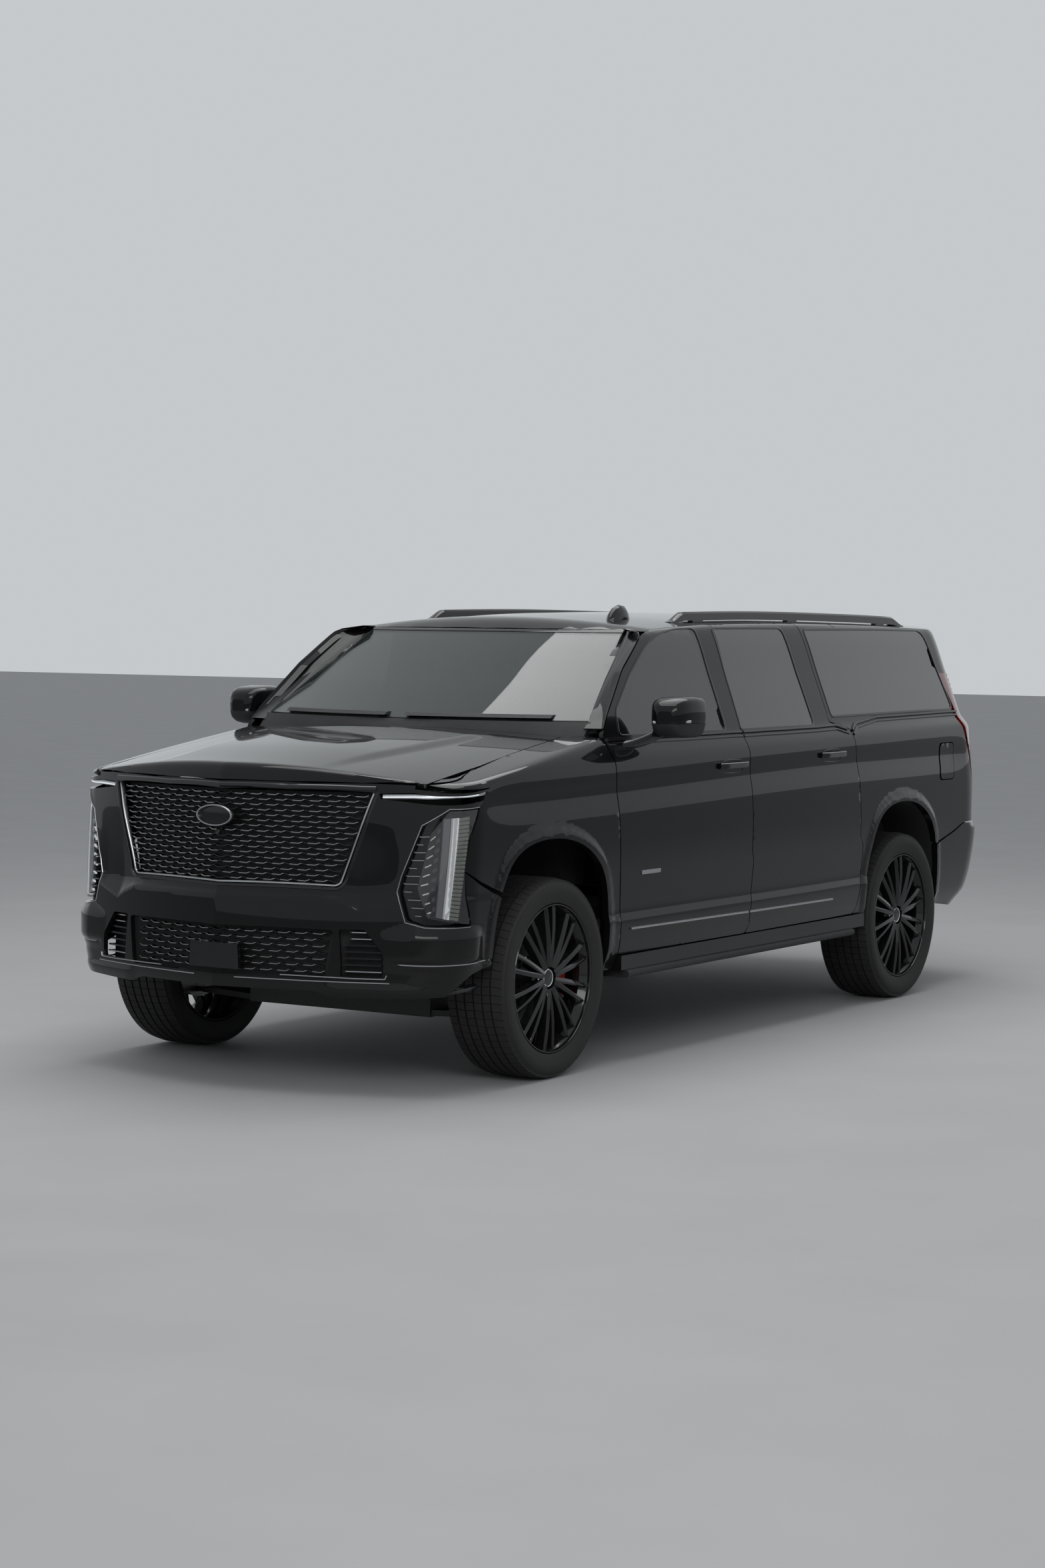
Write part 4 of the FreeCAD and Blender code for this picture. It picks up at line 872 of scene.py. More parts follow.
def build_body():
    """Doors, fenders, front bumper, hood and roof as thick panels."""
    for side, sign in SIDES:
        runs = [("yz", FRONT_DOOR),
                ("xy", [(ROOF_SEAM_X, y) for y in (-0.70, -0.40, FRONT_DOOR_BACK_Y)]),
                ("yz", [(FRONT_DOOR_BACK_Y, z) for z in (1.6, 1.2, SILL_TOP_Z)])]
        hole = nicked(flank.locate(FRONT_WINDOW, (1, 2)), FRONT_WINDOW_CORNERS)
        door = panel("door_front_" + side, flank, nicked(trace(flank, runs), DOOR_CORNER, 4), [hole],
                     door_depth, paint, sign,
                     push=side_form, lean=lambda p: LEAN_BACK * smoothstep(p[:, 1], -0.6, -0.25))
        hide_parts("door_front_" + side)
        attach(door, "door_front_" + side)
        runs = [("xy", [(ROOF_SEAM_X, y) for y in (REAR_DOOR_FRONT_Y, 0.25, 0.686)]),
                ("yz", REAR_DOOR),
                ("yz", [(REAR_DOOR_FRONT_Y, z) for z in (SILL_TOP_Z, 1.2, 1.6)])]
        hole = nicked(flank.locate(REAR_WINDOW, (1, 2)), REAR_WINDOW_CORNERS)
        door = panel("door_rear_" + side, flank, nicked(trace(flank, runs), DOOR_CORNER, 4), [hole],
                     door_depth, paint, sign,
                     push=side_form, lean=LEAN_BACK)
        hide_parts("door_rear_" + side)
        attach(door, "door_rear_" + side)

        runs = [("xz", ((0.846, 1.245), (0.846, 1.300))),
                ("xy", ((0.844, -2.560), (0.8425, -2.50), (0.825, -2.0), (0.806, -1.503), (0.86, -1.42))),
                ("yz", ((-1.404, 1.385), (-1.390, 1.297), (-1.330, 0.620), (-1.330, 0.405),
                        (-1.425, 0.405))),
                ("yz", arch_part(FRONT_AXLE_Y, 0.80, 0.41)[::-1]),
                ("yz", FENDER_FRONT[:4][::-1])]
        fender = panel("fender_" + side, front, trace(front, runs), [], PANEL_THICK, paint, sign,
                       push=side_form)
        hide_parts("fender_" + side)
        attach(fender, "body")

    runs = [("xz", ((0.0, 1.2435), (0.4, 1.2435), (0.80, 1.2435), (0.80, 1.228))),
            ("yz", ((-2.348, 1.228),)),
            ("yz", [(y - 0.004, z - 0.004) for y, z in FENDER_FRONT[1:4]]),
            ("yz", low_arch(0.487, 0.79)[::-1]), ("yz", ((-2.440, 0.486), (-2.549, 0.405))), ("xz", LIP)]
    holes = [
        nicked(trace(front, [("xz", ((0.0, 1.213), GRILLE[1], GRILLE[2], (0.0, 0.833)))]),
               (0, 0.02, 0.02, 0)),
        nicked(trace(front, [("xz", ((0.0, 0.664), INTAKE[0], INTAKE[1], (0.0, 0.468)))]),
               (0, 0.02, 0.02, 0)),
        nicked(trace(front, [("xz", SIDE_INTAKE)]), 0.012),
        nicked(trace(front, [("xz", LAMP_INNER), ("yz", LAMP_OUTER)]), 0.02),
        trace(front, [("xz", ((0.676, 1.188), (0.669, 1.210), (0.80, 1.214))),
                      ("yz", ((-2.34, 1.220), (-2.34, 1.190)))]),
    ]
    for hole in holes[:2]:
        hole[hole[:, 0] < 1e-3, 0] = -0.02
    bumper = panel("front_bumper", front, trace(front, runs), holes, 0.02, paint, push=front_form,
                   whole=True,
                   step=0.010)
    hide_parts("front_bumper")
    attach(bumper, "body")

    runs = [("xz", ((0.0, 1.250), (0.3, 1.250), (0.6, 1.250), (0.838, 1.250)))]
    runs += [("xy", ((0.838, -2.57), (0.838, -2.2), (0.82, -1.95), (0.800, -1.509), (0.43, -1.600),
                     (0.25, -1.633), (0.10, -1.663), (0.0, -1.668)))]
    hood = panel("hood", hood_top, trace(hood_top, runs), [], PANEL_THICK, paint, whole=True,
                 push=hood_form)
    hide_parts("hood")
    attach(hood, "hood")

    runs = [("xy", ((0.0, -0.864), (0.25, -0.850), (0.45, -0.820), (0.60, -0.786), (0.70, -0.757),
                    (0.77, -0.735),
                    (0.770, -0.60), (0.770, 0.5), (0.770, 1.6), (0.770, 2.30), (0.70, 2.494),
                    (0.0, 2.494)))]
    roof = panel("roof", roof_top, trace(roof_top, runs), [], PANEL_THICK, paint, whole=True, step=0.03)
    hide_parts("roof")
    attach(roof, "body")


def hood_form(points):
    """Two raised folds that run from the screen to the nose and close in on each other."""
    x, y = np.abs(points[:, 0]), points[:, 1]
    edge = 0.40 + 0.13 * smoothstep(y, -2.8, -1.6)
    return 0.012 * (1 - smoothstep(x, edge - 0.02, edge + 0.05)) * smoothstep(y, -2.80,
            -2.3) * (1 - smoothstep(y, -1.80, -1.64))


def turned(profile, turns, name, material, smooth=30.0):
    """A closed x, r profile turned about the x axis."""
    count = len(profile)
    points = []
    for i in range(turns):
        a = 2 * math.pi * i / turns
        points += [(x, r * math.sin(a), r * math.cos(a)) for x, r in profile]
    faces = []
    for i in range(turns):
        j = (i + 1) % turns
        for k in range(count):
            m = (k + 1) % count
            faces.append((i * count + k, i * count + m, j * count + m, j * count + k))
    obj = new_object(name, points, faces, material, smooth)
    turn_outwards(obj)
    return obj


def turn_outwards(obj):
    """Faces that all look out of the solid."""
    work = bmesh.new()
    work.from_mesh(obj.data)
    bmesh.ops.recalc_face_normals(work, faces=work.faces)
    work.to_mesh(obj.data)
    work.free()


def block(corners):
    """Eight corners, low four then high four, as vertices and faces."""
    return corners, [(0, 3, 2, 1), (4, 5, 6, 7), (0, 1, 5, 4), (1, 2, 6, 5), (2, 3, 7, 6), (3, 0, 4, 7)]


def circle(count):
    """Equal steps once round, in radians."""
    return np.linspace(0, 2 * math.pi, count + 1)[:-1]


def squared(value, power):
    """A sine or cosine drawn towards its ends, which squares a round outline."""
    return math.copysign(abs(value) ** power, value)


def lofted(rings):
    """A closed skin over rings that have equally many points, with both ends capped."""
    rings = np.array(rings, float)
    rows, n = rings.shape[:2]
    faces = [(i * n + k, i * n + (k + 1) % n, (i + 1) * n + (k + 1) % n, (i + 1) * n + k)
             for i in range(rows - 1) for k in range(n)]
    faces += [tuple(range(n)), tuple(range((rows - 1) * n, rows * n))]
    return rings.reshape(-1, 3), faces


def merged(name, pieces, material, smooth=35.0):
    """One object from several sets of vertices and faces."""
    points, faces = [], []
    for vertices, sides in pieces:
        start = len(points)
        points += [tuple(v) for v in vertices]
        faces += [tuple(start + i for i in f) for f in sides]
    obj = new_object(name, points, faces, material, smooth)
    turn_outwards(obj)
    return obj


def placed(mesh, name, place, mirror):
    """A copy of a wheel-centred mesh, mirrored for the right side and moved to the hub."""
    copy = mesh.copy()
    copy.transform(Matrix.Diagonal((-1.0 if mirror else 1.0, 1.0, 1.0, 1.0)))
    copy.transform(Matrix.Translation(place))
    if mirror:
        copy.flip_normals()
    obj = bpy.data.objects.new(name, copy)
    bpy.context.scene.collection.objects.link(obj)
    return obj


TREAD_BLOCKS = 76
SPOKE_PAIRS = 10
SPOKE_ROOT_R = 0.046
SPOKE_REACH = 0.256
NUT_COUNT = 6
NUT_CIRCLE_R = 0.060


def tyre_meshes():
    """Carcass with rounded shoulders, and the tread blocks."""
    profile = [(-0.116, 0.303), (-0.1185, 0.312), (-0.130, 0.314), (-0.134, 0.324), (-0.137, 0.336),
               (-0.1415, 0.356), (-0.1422, 0.370), (-0.1395, 0.388), (-0.1385, 0.390), (-0.1375, 0.3895),
               (-0.132, 0.400), (-0.120, 0.4085), (-0.10, 0.4105)]
    profile += [(-x, r) for x, r in reversed(profile)]
    profile += [(0.110, 0.335), (0.118, 0.365), (0.10, 0.392), (-0.10, 0.392), (-0.118, 0.365),
                (-0.110, 0.335)]
    carcass = turned(profile, 120, "carcass", rubber)
    blocks = []
    ribs = ((-0.129, -0.088, 0.30), (-0.080, -0.046, -0.25), (-0.038, -0.004, 0.2), (0.004, 0.038, -0.2),
            (0.046, 0.080, 0.25), (0.088, 0.129, -0.30))
    for x0, x1, slant in ribs:
        for i in range(TREAD_BLOCKS):
            a0 = 2 * math.pi * (i + 0.035) / TREAD_BLOCKS
            a1 = 2 * math.pi * (i + 0.965) / TREAD_BLOCKS
            corners = []
            for base in (0.405, None):
                for x, a in ((x0, a0), (x1, a0), (x1, a1), (x0, a1)):
                    edge = abs(x) > 0.12
                    r = base - (0.006 if edge else 0.0) if base else (0.4105 if edge else 0.4188)
                    t = a + slant * (x - (x0 + x1) / 2)
                    corners.append((x, r * math.sin(t), r * math.cos(t)))
            blocks.append(block(corners))
    tread = merged("tread", blocks, rubber)
    return carcass, tread


def spoke_mesh():
    """Ten pairs of twisted, faceted spokes between the hub and the rim."""
    pieces = []
    for base in circle(SPOKE_PAIRS):
        for side in (1.0, -1.0):
            rings = []
            for t in np.linspace(0.0, 1.0, 9):
                r = SPOKE_ROOT_R + t * SPOKE_REACH
                spread = side * (0.004 + 0.030 * t + 0.002 * math.sin(math.pi * t))
                wide = 0.0085 + 0.0055 * (1 - t) ** 2 + 0.003 * t
                crest = 0.1035 + 0.019 * math.sin(math.pi * min(1.0, 0.25 + t * 0.62)) + 0.004 * t
                twist = side * 0.35
                section = [(crest - 0.052, -wide * 0.8), (crest - 0.010, -wide),
                        (crest, -wide * twist * 0.9),
                           (crest - 0.006, wide), (crest - 0.052, wide * 0.8)]
                ring = []
                for x, across in section:
                    tangent = spread + across
                    ring.append((x, r * math.sin(base) + tangent * math.cos(base),
                                 r * math.cos(base) - tangent * math.sin(base)))
                rings.append(ring)
            pieces.append(lofted(rings))
    return merged("spokes", pieces, wheel_paint, 22.0)


def build_wheels():
    """Four wheels from one set of meshes that are centred on the hub."""
    carcass, tread = tyre_meshes()
    barrel = [(-0.130, 0.309), (-0.118, 0.309), (-0.117, 0.3035), (-0.096, 0.3035), (-0.07, 0.290),
              (0.080, 0.290),
              (0.096, 0.3035), (0.117, 0.3035), (0.119, 0.309), (0.1275, 0.3105), (0.1305, 0.3085),
              (0.130, 0.3045),
              (0.126, 0.3025), (0.116, 0.302), (0.108, 0.296), (0.086, 0.282), (-0.07, 0.280),
              (-0.10, 0.292),
              (-0.130, 0.300)]
    rim = turned(barrel, 120, "barrel", wheel_paint)
    spokes = spoke_mesh()
    hub = turned([(0.0, 0.0), (0.0, 0.078), (0.072, 0.078), (0.084, 0.070), (0.088, 0.050), (0.0885, 0.0)],
                 48, "hub",
                 wheel_paint)
    cap = turned([(0.088, 0.0), (0.088, 0.037), (0.101, 0.037), (0.1045, 0.034), (0.106, 0.0)], 48, "cap",
                 gloss)
    cap_ring = turned([(0.100, 0.0335), (0.1005, 0.0385), (0.1045, 0.0385), (0.1062, 0.0355),
                       (0.1045, 0.0325)], 48,
                      "cap_ring", chrome)
    disc = turned([(-0.030, 0.085), (-0.030, 0.205), (0.002, 0.205), (0.002, 0.085)], 96, "disc",
                  disc_steel)
    nuts = []
    for i in range(NUT_COUNT):
        a = 2 * math.pi * (i + 0.5) / NUT_COUNT
        ring = []
        for x, r in ((0.080, 0.0115), (0.0965, 0.0115), (0.1005, 0.008)):
            for k in range(6):
                b = math.pi * k / 3
                ring.append((x, NUT_CIRCLE_R * math.sin(a) + r * math.sin(b),
                             NUT_CIRCLE_R * math.cos(a) + r * math.cos(b)))
        faces = [(k, (k + 1) % 6, (k + 1) % 6 + 6, k + 6) for k in range(6)]
        faces += [(k + 6, (k + 1) % 6 + 6, (k + 1) % 6 + 12, k + 12) for k in range(6)]
        faces += [tuple(range(12, 18)), tuple(range(5, -1, -1))]
        nuts.append((ring, faces))
    nuts = merged("nuts", nuts, chrome)
    sets = (("tyre", (("carcass", carcass), ("tread", tread))),
            ("rim", (("barrel", rim), ("spokes", spokes), ("hub", hub), ("cap", cap),
                     ("cap_ring", cap_ring),
                     ("disc", disc), ("nuts", nuts))))
    for place, axle_y in (("front", FRONT_AXLE_Y), ("rear", REAR_AXLE_Y)):
        for side, sign in SIDES:
            hub_place = (sign * WHEEL_X, axle_y, AXLE_Z)
            for node, members in sets:
                for label, master in members:
                    obj = placed(master.data, "%s_%s_%s" % (label, place, side), hub_place, sign < 0)
                    if node == "tyre" or label in ("barrel", "spokes"):
                        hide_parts("%s_%s_%s" % (node, place, side))
                    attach(obj, "wheel_%s_%s" % (place, side))
                    if label in ("spokes", "hub"):
                        bevelled(obj, 0.0012, 1, 40.0)
    for _, members in sets:
        for _, master in members:
            bpy.data.objects.remove(master)


build_wheels()


def ribbon(points, normals, width, rise, sink=0.004, loop=False):
    """A bar of trapezoid section that follows a line on a skin, as vertices and faces."""
    following = np.roll(points, -1, 0) - np.roll(points, 1, 0)
    if not loop:
        following[0] = points[1] - points[0]
        following[-1] = points[-1] - points[-2]
    across = np.cross(normals, following)
    across /= np.maximum(np.linalg.norm(across, axis=1), 1e-12)[:, None]
    h = width / 2
    section = ((-h, -sink), (-h, 0.35 * rise), (-0.55 * h, rise), (0.55 * h, rise), (h, 0.35 * rise),
               (h, -sink))
    count = len(section)
    vertices = np.stack([points + across * a + normals * b for a, b in section], 1).reshape(-1, 3)
    faces = []
    for i in range(len(points) - (0 if loop else 1)):
        j = (i + 1) % len(points)
        for k in range(count):
            m = (k + 1) % count
            faces.append((i * count + k, i * count + m, j * count + m, j * count + k))
    if not loop:
        faces += [tuple(range(count)), tuple(range(len(vertices) - count, len(vertices)))]
    return vertices, faces


def flipped(piece):
    """A piece mirrored to the other side."""
    vertices, faces = piece
    return np.array(vertices) * (-1.0, 1.0, 1.0), [tuple(f[::-1]) for f in faces]


def along(surface, places, step=0.014, lift=0.0, loop=False, push=None):
    """Evenly spaced points and outward normals of a line on a surface."""
    places = np.array(places, float)
    if loop:
        places = np.concatenate((places, places[:1]))
    lengths = np.concatenate(([0.0], np.cumsum(np.linalg.norm(np.diff(places, axis=0), axis=1))))
    count = max(2, int(lengths[-1] / step) + 1)
    even = np.linspace(0, lengths[-1], count + (1 if loop else 0))
    kinks = lengths[1:-1]
    even = np.unique(np.round(np.concatenate((even, kinks)), 6))
    even = even[np.concatenate(([True], np.diff(even) > 1e-4))]
    if loop:
        even = even[:-1]
    line = np.stack([np.interp(even, lengths, places[:, k]) for k in (0, 1)], 1)
    points = surface.at(line)
    normals = facing_out(surface, line, points)
    if push is not None:
        points = points + normals * push(points)[:, None]
    return points + normals * lift, normals


def facing_out(surface, line, points):
    """Surface normals along a line, turned outwards."""
    normals = surface.normals(line)
    turn = np.sign(normals[:, 0] * points[:, 0] * 0.5 + normals[:, 1] * (points[:, 1] - 0.3)
                   + normals[:, 2] * (points[:, 2] - 0.9))
    return normals * np.where(turn == 0, 1.0, turn)[:, None]


def cell(surface, quad, near, far, push=None):
    """A block under a skin between two depths, over four grid places."""
    quad = np.array(quad, float)
    points = surface.at(quad)
    normals = facing_out(surface, quad, points)
    if push is not None:
        points = points + normals * push(points)[:, None]
    corners = np.concatenate((points - normals * far, points - normals * near))
    return block(corners)


class Warp:
    """Grid places of front-view points, looked up on a coarse net and read between its knots."""

    def __init__(self, surface, x0, x1, z0, z1, nx=12, nz=8, axes=(0, 2)):
        self.low, self.high = np.array((x0, z0)), np.array((x1, z1))
        self.count = np.array((nx, nz))
        net = [(x, z) for x in np.linspace(x0, x1, nx) for z in np.linspace(z0, z1, nz)]
        self.net = surface.locate(net, axes).reshape(nx, nz, 2)

    def __call__(self, points):
        u = (np.array(points, float) - self.low) / (self.high - self.low) * (self.count - 1)
        u = np.clip(u, 0.0, self.count - 1.001)
        i, j = u.astype(int).T
        a, b = (u - np.floor(u)).T[:, :, None]
        n = self.net
        return (n[i, j] * (1 - a) * (1 - b) + n[i + 1, j] * a * (1 - b)
                + n[i, j + 1] * (1 - a) * b + n[i + 1, j + 1] * a * b)


def both_sides(pieces):
    """The pieces and their mirror images."""
    return pieces + [flipped(p) for p in pieces]


def show(name, pieces, material, body="body", smooth=35.0):
    """One object from several pieces, riding on a body."""
    obj = merged(name, pieces, material, smooth)
    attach(obj, body)
    return obj


def chevrons(warp, corners, rows, pitch, depth, name):
    """Staggered rows of shallow folded bars across an opening, and their bright front edges."""
    (top_half, top), (low_half, low) = corners
    bars, edges = [], []
    rise = 0.0075
    for row in range(rows):
        z = low + (row + 0.7) * (top - low) / (rows + 0.4)
        half = low_half + (z - low) / (top - low) * (top_half - low_half) - 0.008
        start = 0.5 * pitch * (row % 2)
        marks = []
        for k in range(-1, int(half / pitch) + 2):
            x = start + k * pitch
            marks += [(x - 0.5 * pitch, z + rise), (x - 0.2 * pitch, z), (x + 0.2 * pitch, z)]
            if x + 0.18 * pitch < half and x - 0.2 * pitch > 0.0:
                edges.append(np.array(((x - 0.26 * pitch, z + 0.0035), (x + 0.2 * pitch, z + 0.0015),
                                       (x + 0.42 * pitch, z + rise))))
        marks = np.array([m for m in marks if -1e-6 <= m[0] <= half])
        if marks[0, 0] > 1e-4:
            marks = np.concatenate((((0.0, marks[0, 1]),), marks))
        marks = np.concatenate((marks, ((half, marks[-1, 1]),)))
        points, normals = along(front, warp(marks), 0.03, lift=-depth)
        bars.append(ribbon(points, normals, 0.0052, 0.007, 0.016))
    show(name, both_sides(bars), gloss)
    marks = []
    for edge in edges:
        edge[:, 0] = np.minimum(edge[:, 0], top_half)
        points, normals = along(front, warp(edge), 0.03, lift=-depth + 0.0065)
        marks.append(ribbon(points, normals, 0.0030, 0.0014, 0.001))
    show(name + "_edges", both_sides(marks), satin)


def front_form(points):
    """The ledges and folds of the front bumper."""
    x, y, z = np.abs(points[:, 0]), points[:, 1], points[:, 2]
    lower = np.interp(x, (0.0, 0.509, 0.580, 0.611, 0.763), (0.784, 0.786, 0.757, 0.737, 0.783))
    upper = 0.806
    depth = np.interp(x, (0.0, 0.45, 0.611, 0.72, 0.775), (0.012, 0.012, 0.026, 0.014, 0.002))
    ledge = -depth * np.clip((z - lower) / np.maximum(upper - lower, 0.004), 0.0, 1.0)
    ledge *= 1 - smoothstep(z, 0.83, 1.12)
    lean = np.clip((x - 0.70) / 0.12, 0.0, 1.0)
    top = np.interp(x, (0.70, 0.827, 0.853, 0.95), (0.655, 0.700, 0.688, 0.682))
    flare = 0.020 * lean * (1 - np.clip((z - 0.641) / np.maximum(top - 0.641, 0.006), 0.0, 1.0))
    flare *= smoothstep(z, 0.50, 0.56) * (1 - smoothstep(y, -2.46, -2.36))
    groove = -0.006 * np.exp(-((z - 0.533) / 0.006) ** 2) * (x > 0.74)
    lip = 0.006 * (1 - smoothstep(z, 0.425, 0.455)) * (x < 0.97) * smoothstep(x, 0.45, 0.55)
    return ledge + flare + groove + lip + arch_flare(points)


def build_front():
    """Grille, intakes, plain plaque and panel, bright lines and the lip."""
    grille_map = Warp(front, 0.0, 0.70, 0.80, 1.23)
    intake_map = Warp(front, 0.0, 0.76, 0.45, 0.69, 12, 5)
    chevrons(grille_map, ((0.640, 1.209), (0.520, 0.838)), 17, 0.074, 0.030, "grille_mesh")
    chevrons(intake_map, ((0.500, 0.660), (0.475, 0.472)), 7, 0.074, 0.030, "intake_mesh")
    backs = []
    for warp, outline in ((grille_map, ((0.0, 1.216), (0.66, 1.216), (0.54, 0.828), (0.0, 0.828))),
                          (intake_map, ((0.0, 0.668), (0.72, 0.674), (0.72, 0.470), (0.0, 0.462)))):
        quad = np.array(outline)
        for k in range(8):
            a, b = k / 8.0, (k + 1) / 8.0
            corners = [quad[0] + (quad[1] - quad[0]) * a, quad[0] + (quad[1] - quad[0]) * b,
                       quad[3] + (quad[2] - quad[3]) * b, quad[3] + (quad[2] - quad[3]) * a]
            backs.append(cell(front, warp(corners), 0.062, 0.066))
    backs = show("intake_backs", both_sides(backs), grained)
    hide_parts("grille")
    frame_line = np.array(((0.0, 0.840), (0.512, 0.840), (0.530, 0.852), (0.640, 1.190), (0.648, 1.212)))
    points, normals = along(front, grille_map(nicked_open(frame_line, 0.02)), 0.012, lift=-0.012,
            push=front_form)
    show("grille_frame", both_sides([ribbon(points, normals, 0.011, 0.006, 0.014)]), satin)
    outer_line = np.array(((0.0, 0.826), (0.520, 0.826), (0.547, 0.846), (0.662, 1.214)))
    points, normals = along(front, grille_map(nicked_open(outer_line, 0.02)), 0.012, lift=-0.004,
            push=front_form)
    show("grille_surround", both_sides([ribbon(points, normals, 0.016, 0.007, 0.020)]), gloss)

    outline = np.array([(0.088 * math.cos(t), 0.042 * math.sin(t))
                        for t in np.linspace(0, 2 * math.pi, 48)[:-1]])
    rim = [(0.0, outline * 1.0), (0.010, outline * 1.0), (0.013, outline * 0.95), (0.0125, outline * 0.90),
           (0.009, outline * 0.87), (0.011, outline * 0.4)]
    points, faces = [], []
    count = len(outline)
    for out, ring in rim:
        points += [(x, -2.860 - out, 1.106 + z) for x, z in ring]
    for k in range(len(rim) - 1):
        for m in range(count):
            n = (m + 1) % count
            faces.append((k * count + m, k * count + n, (k + 1) * count + n, (k + 1) * count + m))
    faces += [tuple(range(count)), tuple(range(len(points) - count, len(points)))]
    show("plaque", [(points, faces)], gloss)
    edge = np.array([(x, -2.874 - 0.006, 1.106 + z) for x, z in outline * 0.97])
    ahead = np.tile((0.0, -1.0, 0.0), (len(edge), 1))
    show("plaque_rim", [ribbon(edge, ahead, 0.008, 0.005, 0.008, loop=True)], satin)
    eye = turned([(0.0, 0.0), (0.0, 0.011), (0.012, 0.011), (0.014, 0.008), (0.012, 0.0)], 24, "camera_eye",
                 gloss)
    eye.data.transform(Matrix.Rotation(-math.pi / 2, 4, "Z"))
    eye.data.transform(Matrix.Translation((0.0, -2.846, 1.040)))
    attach(eye, "body")

    panel_quad = ((-0.118, 0.592), (0.118, 0.592), (0.125, 0.490), (-0.125, 0.490))
    blank = [block([(x, -2.880 + d, z) for d in (0.018, 0.0) for x, z in panel_quad])]
    show("blank_panel", blank, gloss)

    for sign, side in ((1.0, "left"), (-1.0, "right")):
        build_lamp(sign, side)

    fins, bright = [], []
    for k in range(7):
        z = 0.497 + 0.026 * k
        x0 = 0.552 + (0.02 if k > 4 else 0.0)
        x1 = 0.700 - max(0.0, z - 0.575) * 0.78
        quad = intake_map(((x0, z), (x1, z), (x1, z + 0.006), (x0, z + 0.006)))
        fins.append(cell(front, quad, 0.018, 0.05))
        if k in (0, 5, 6):
            quad = intake_map(((x0 + 0.01, z + 0.001), (x1, z + 0.001), (x1, z + 0.0045),
                    (x0 + 0.01, z + 0.0045)))
            bright.append(cell(front, quad, 0.0165, 0.020))
    show("intake_fins", both_sides(fins), gloss)
    show("intake_fin_edges", both_sides(bright), satin)
    lines = []
    for run in (((0.30, 0.478), (0.60, 0.474), (0.716, 0.474), (0.722, 0.490)),
                ((0.10, 0.458), (0.46, 0.458), (0.735, 0.458))):
        points, normals = along(front, intake_map(run), 0.02, lift=0.0, push=front_form)
        points[:, 1] = np.maximum(points[:, 1], -2.8825)
        lines.append(ribbon(points, normals, 0.006, 0.004))
    line = trace(front, [("xz", ((0.752, 0.533), (0.86, 0.531))),
                         ("yz", ((-2.52, 0.531), (-2.42, 0.533), (-2.335, 0.537)))])
    points, normals = along(front, line, 0.02, lift=-0.004, push=front_form)
    lines.append(ribbon(points, normals, 0.007, 0.006))
    show("bumper_lines", both_sides(lines), satin)
    lip = trace(front, [("xz", ((0.0, 0.428), (0.430, 0.428), (0.500, 0.405), (0.80, 0.410), (0.900, 0.414),
            (0.935, 0.425)))])
    points, normals = along(front, lip, 0.014, lift=-0.013, push=front_form)
    show("lip_edge", both_sides([ribbon(points, normals, 0.020, 0.011, 0.012)]), gloss)
    header = front.locate(((0.0, 1.2285), (0.30, 1.2285), (0.60, 1.2285), (0.655, 1.2285)), (0, 2))
    points, normals = along(front, header, 0.03, push=front_form)
    show("header_bar", both_sides([ribbon(points, normals, 0.020, 0.007, 0.004)]), gloss)


def nicked_open(points, size):
    """An open line with its inner corners rounded."""
    return nicked(points, [0.0] + [size] * (len(points) - 2) + [0.0])


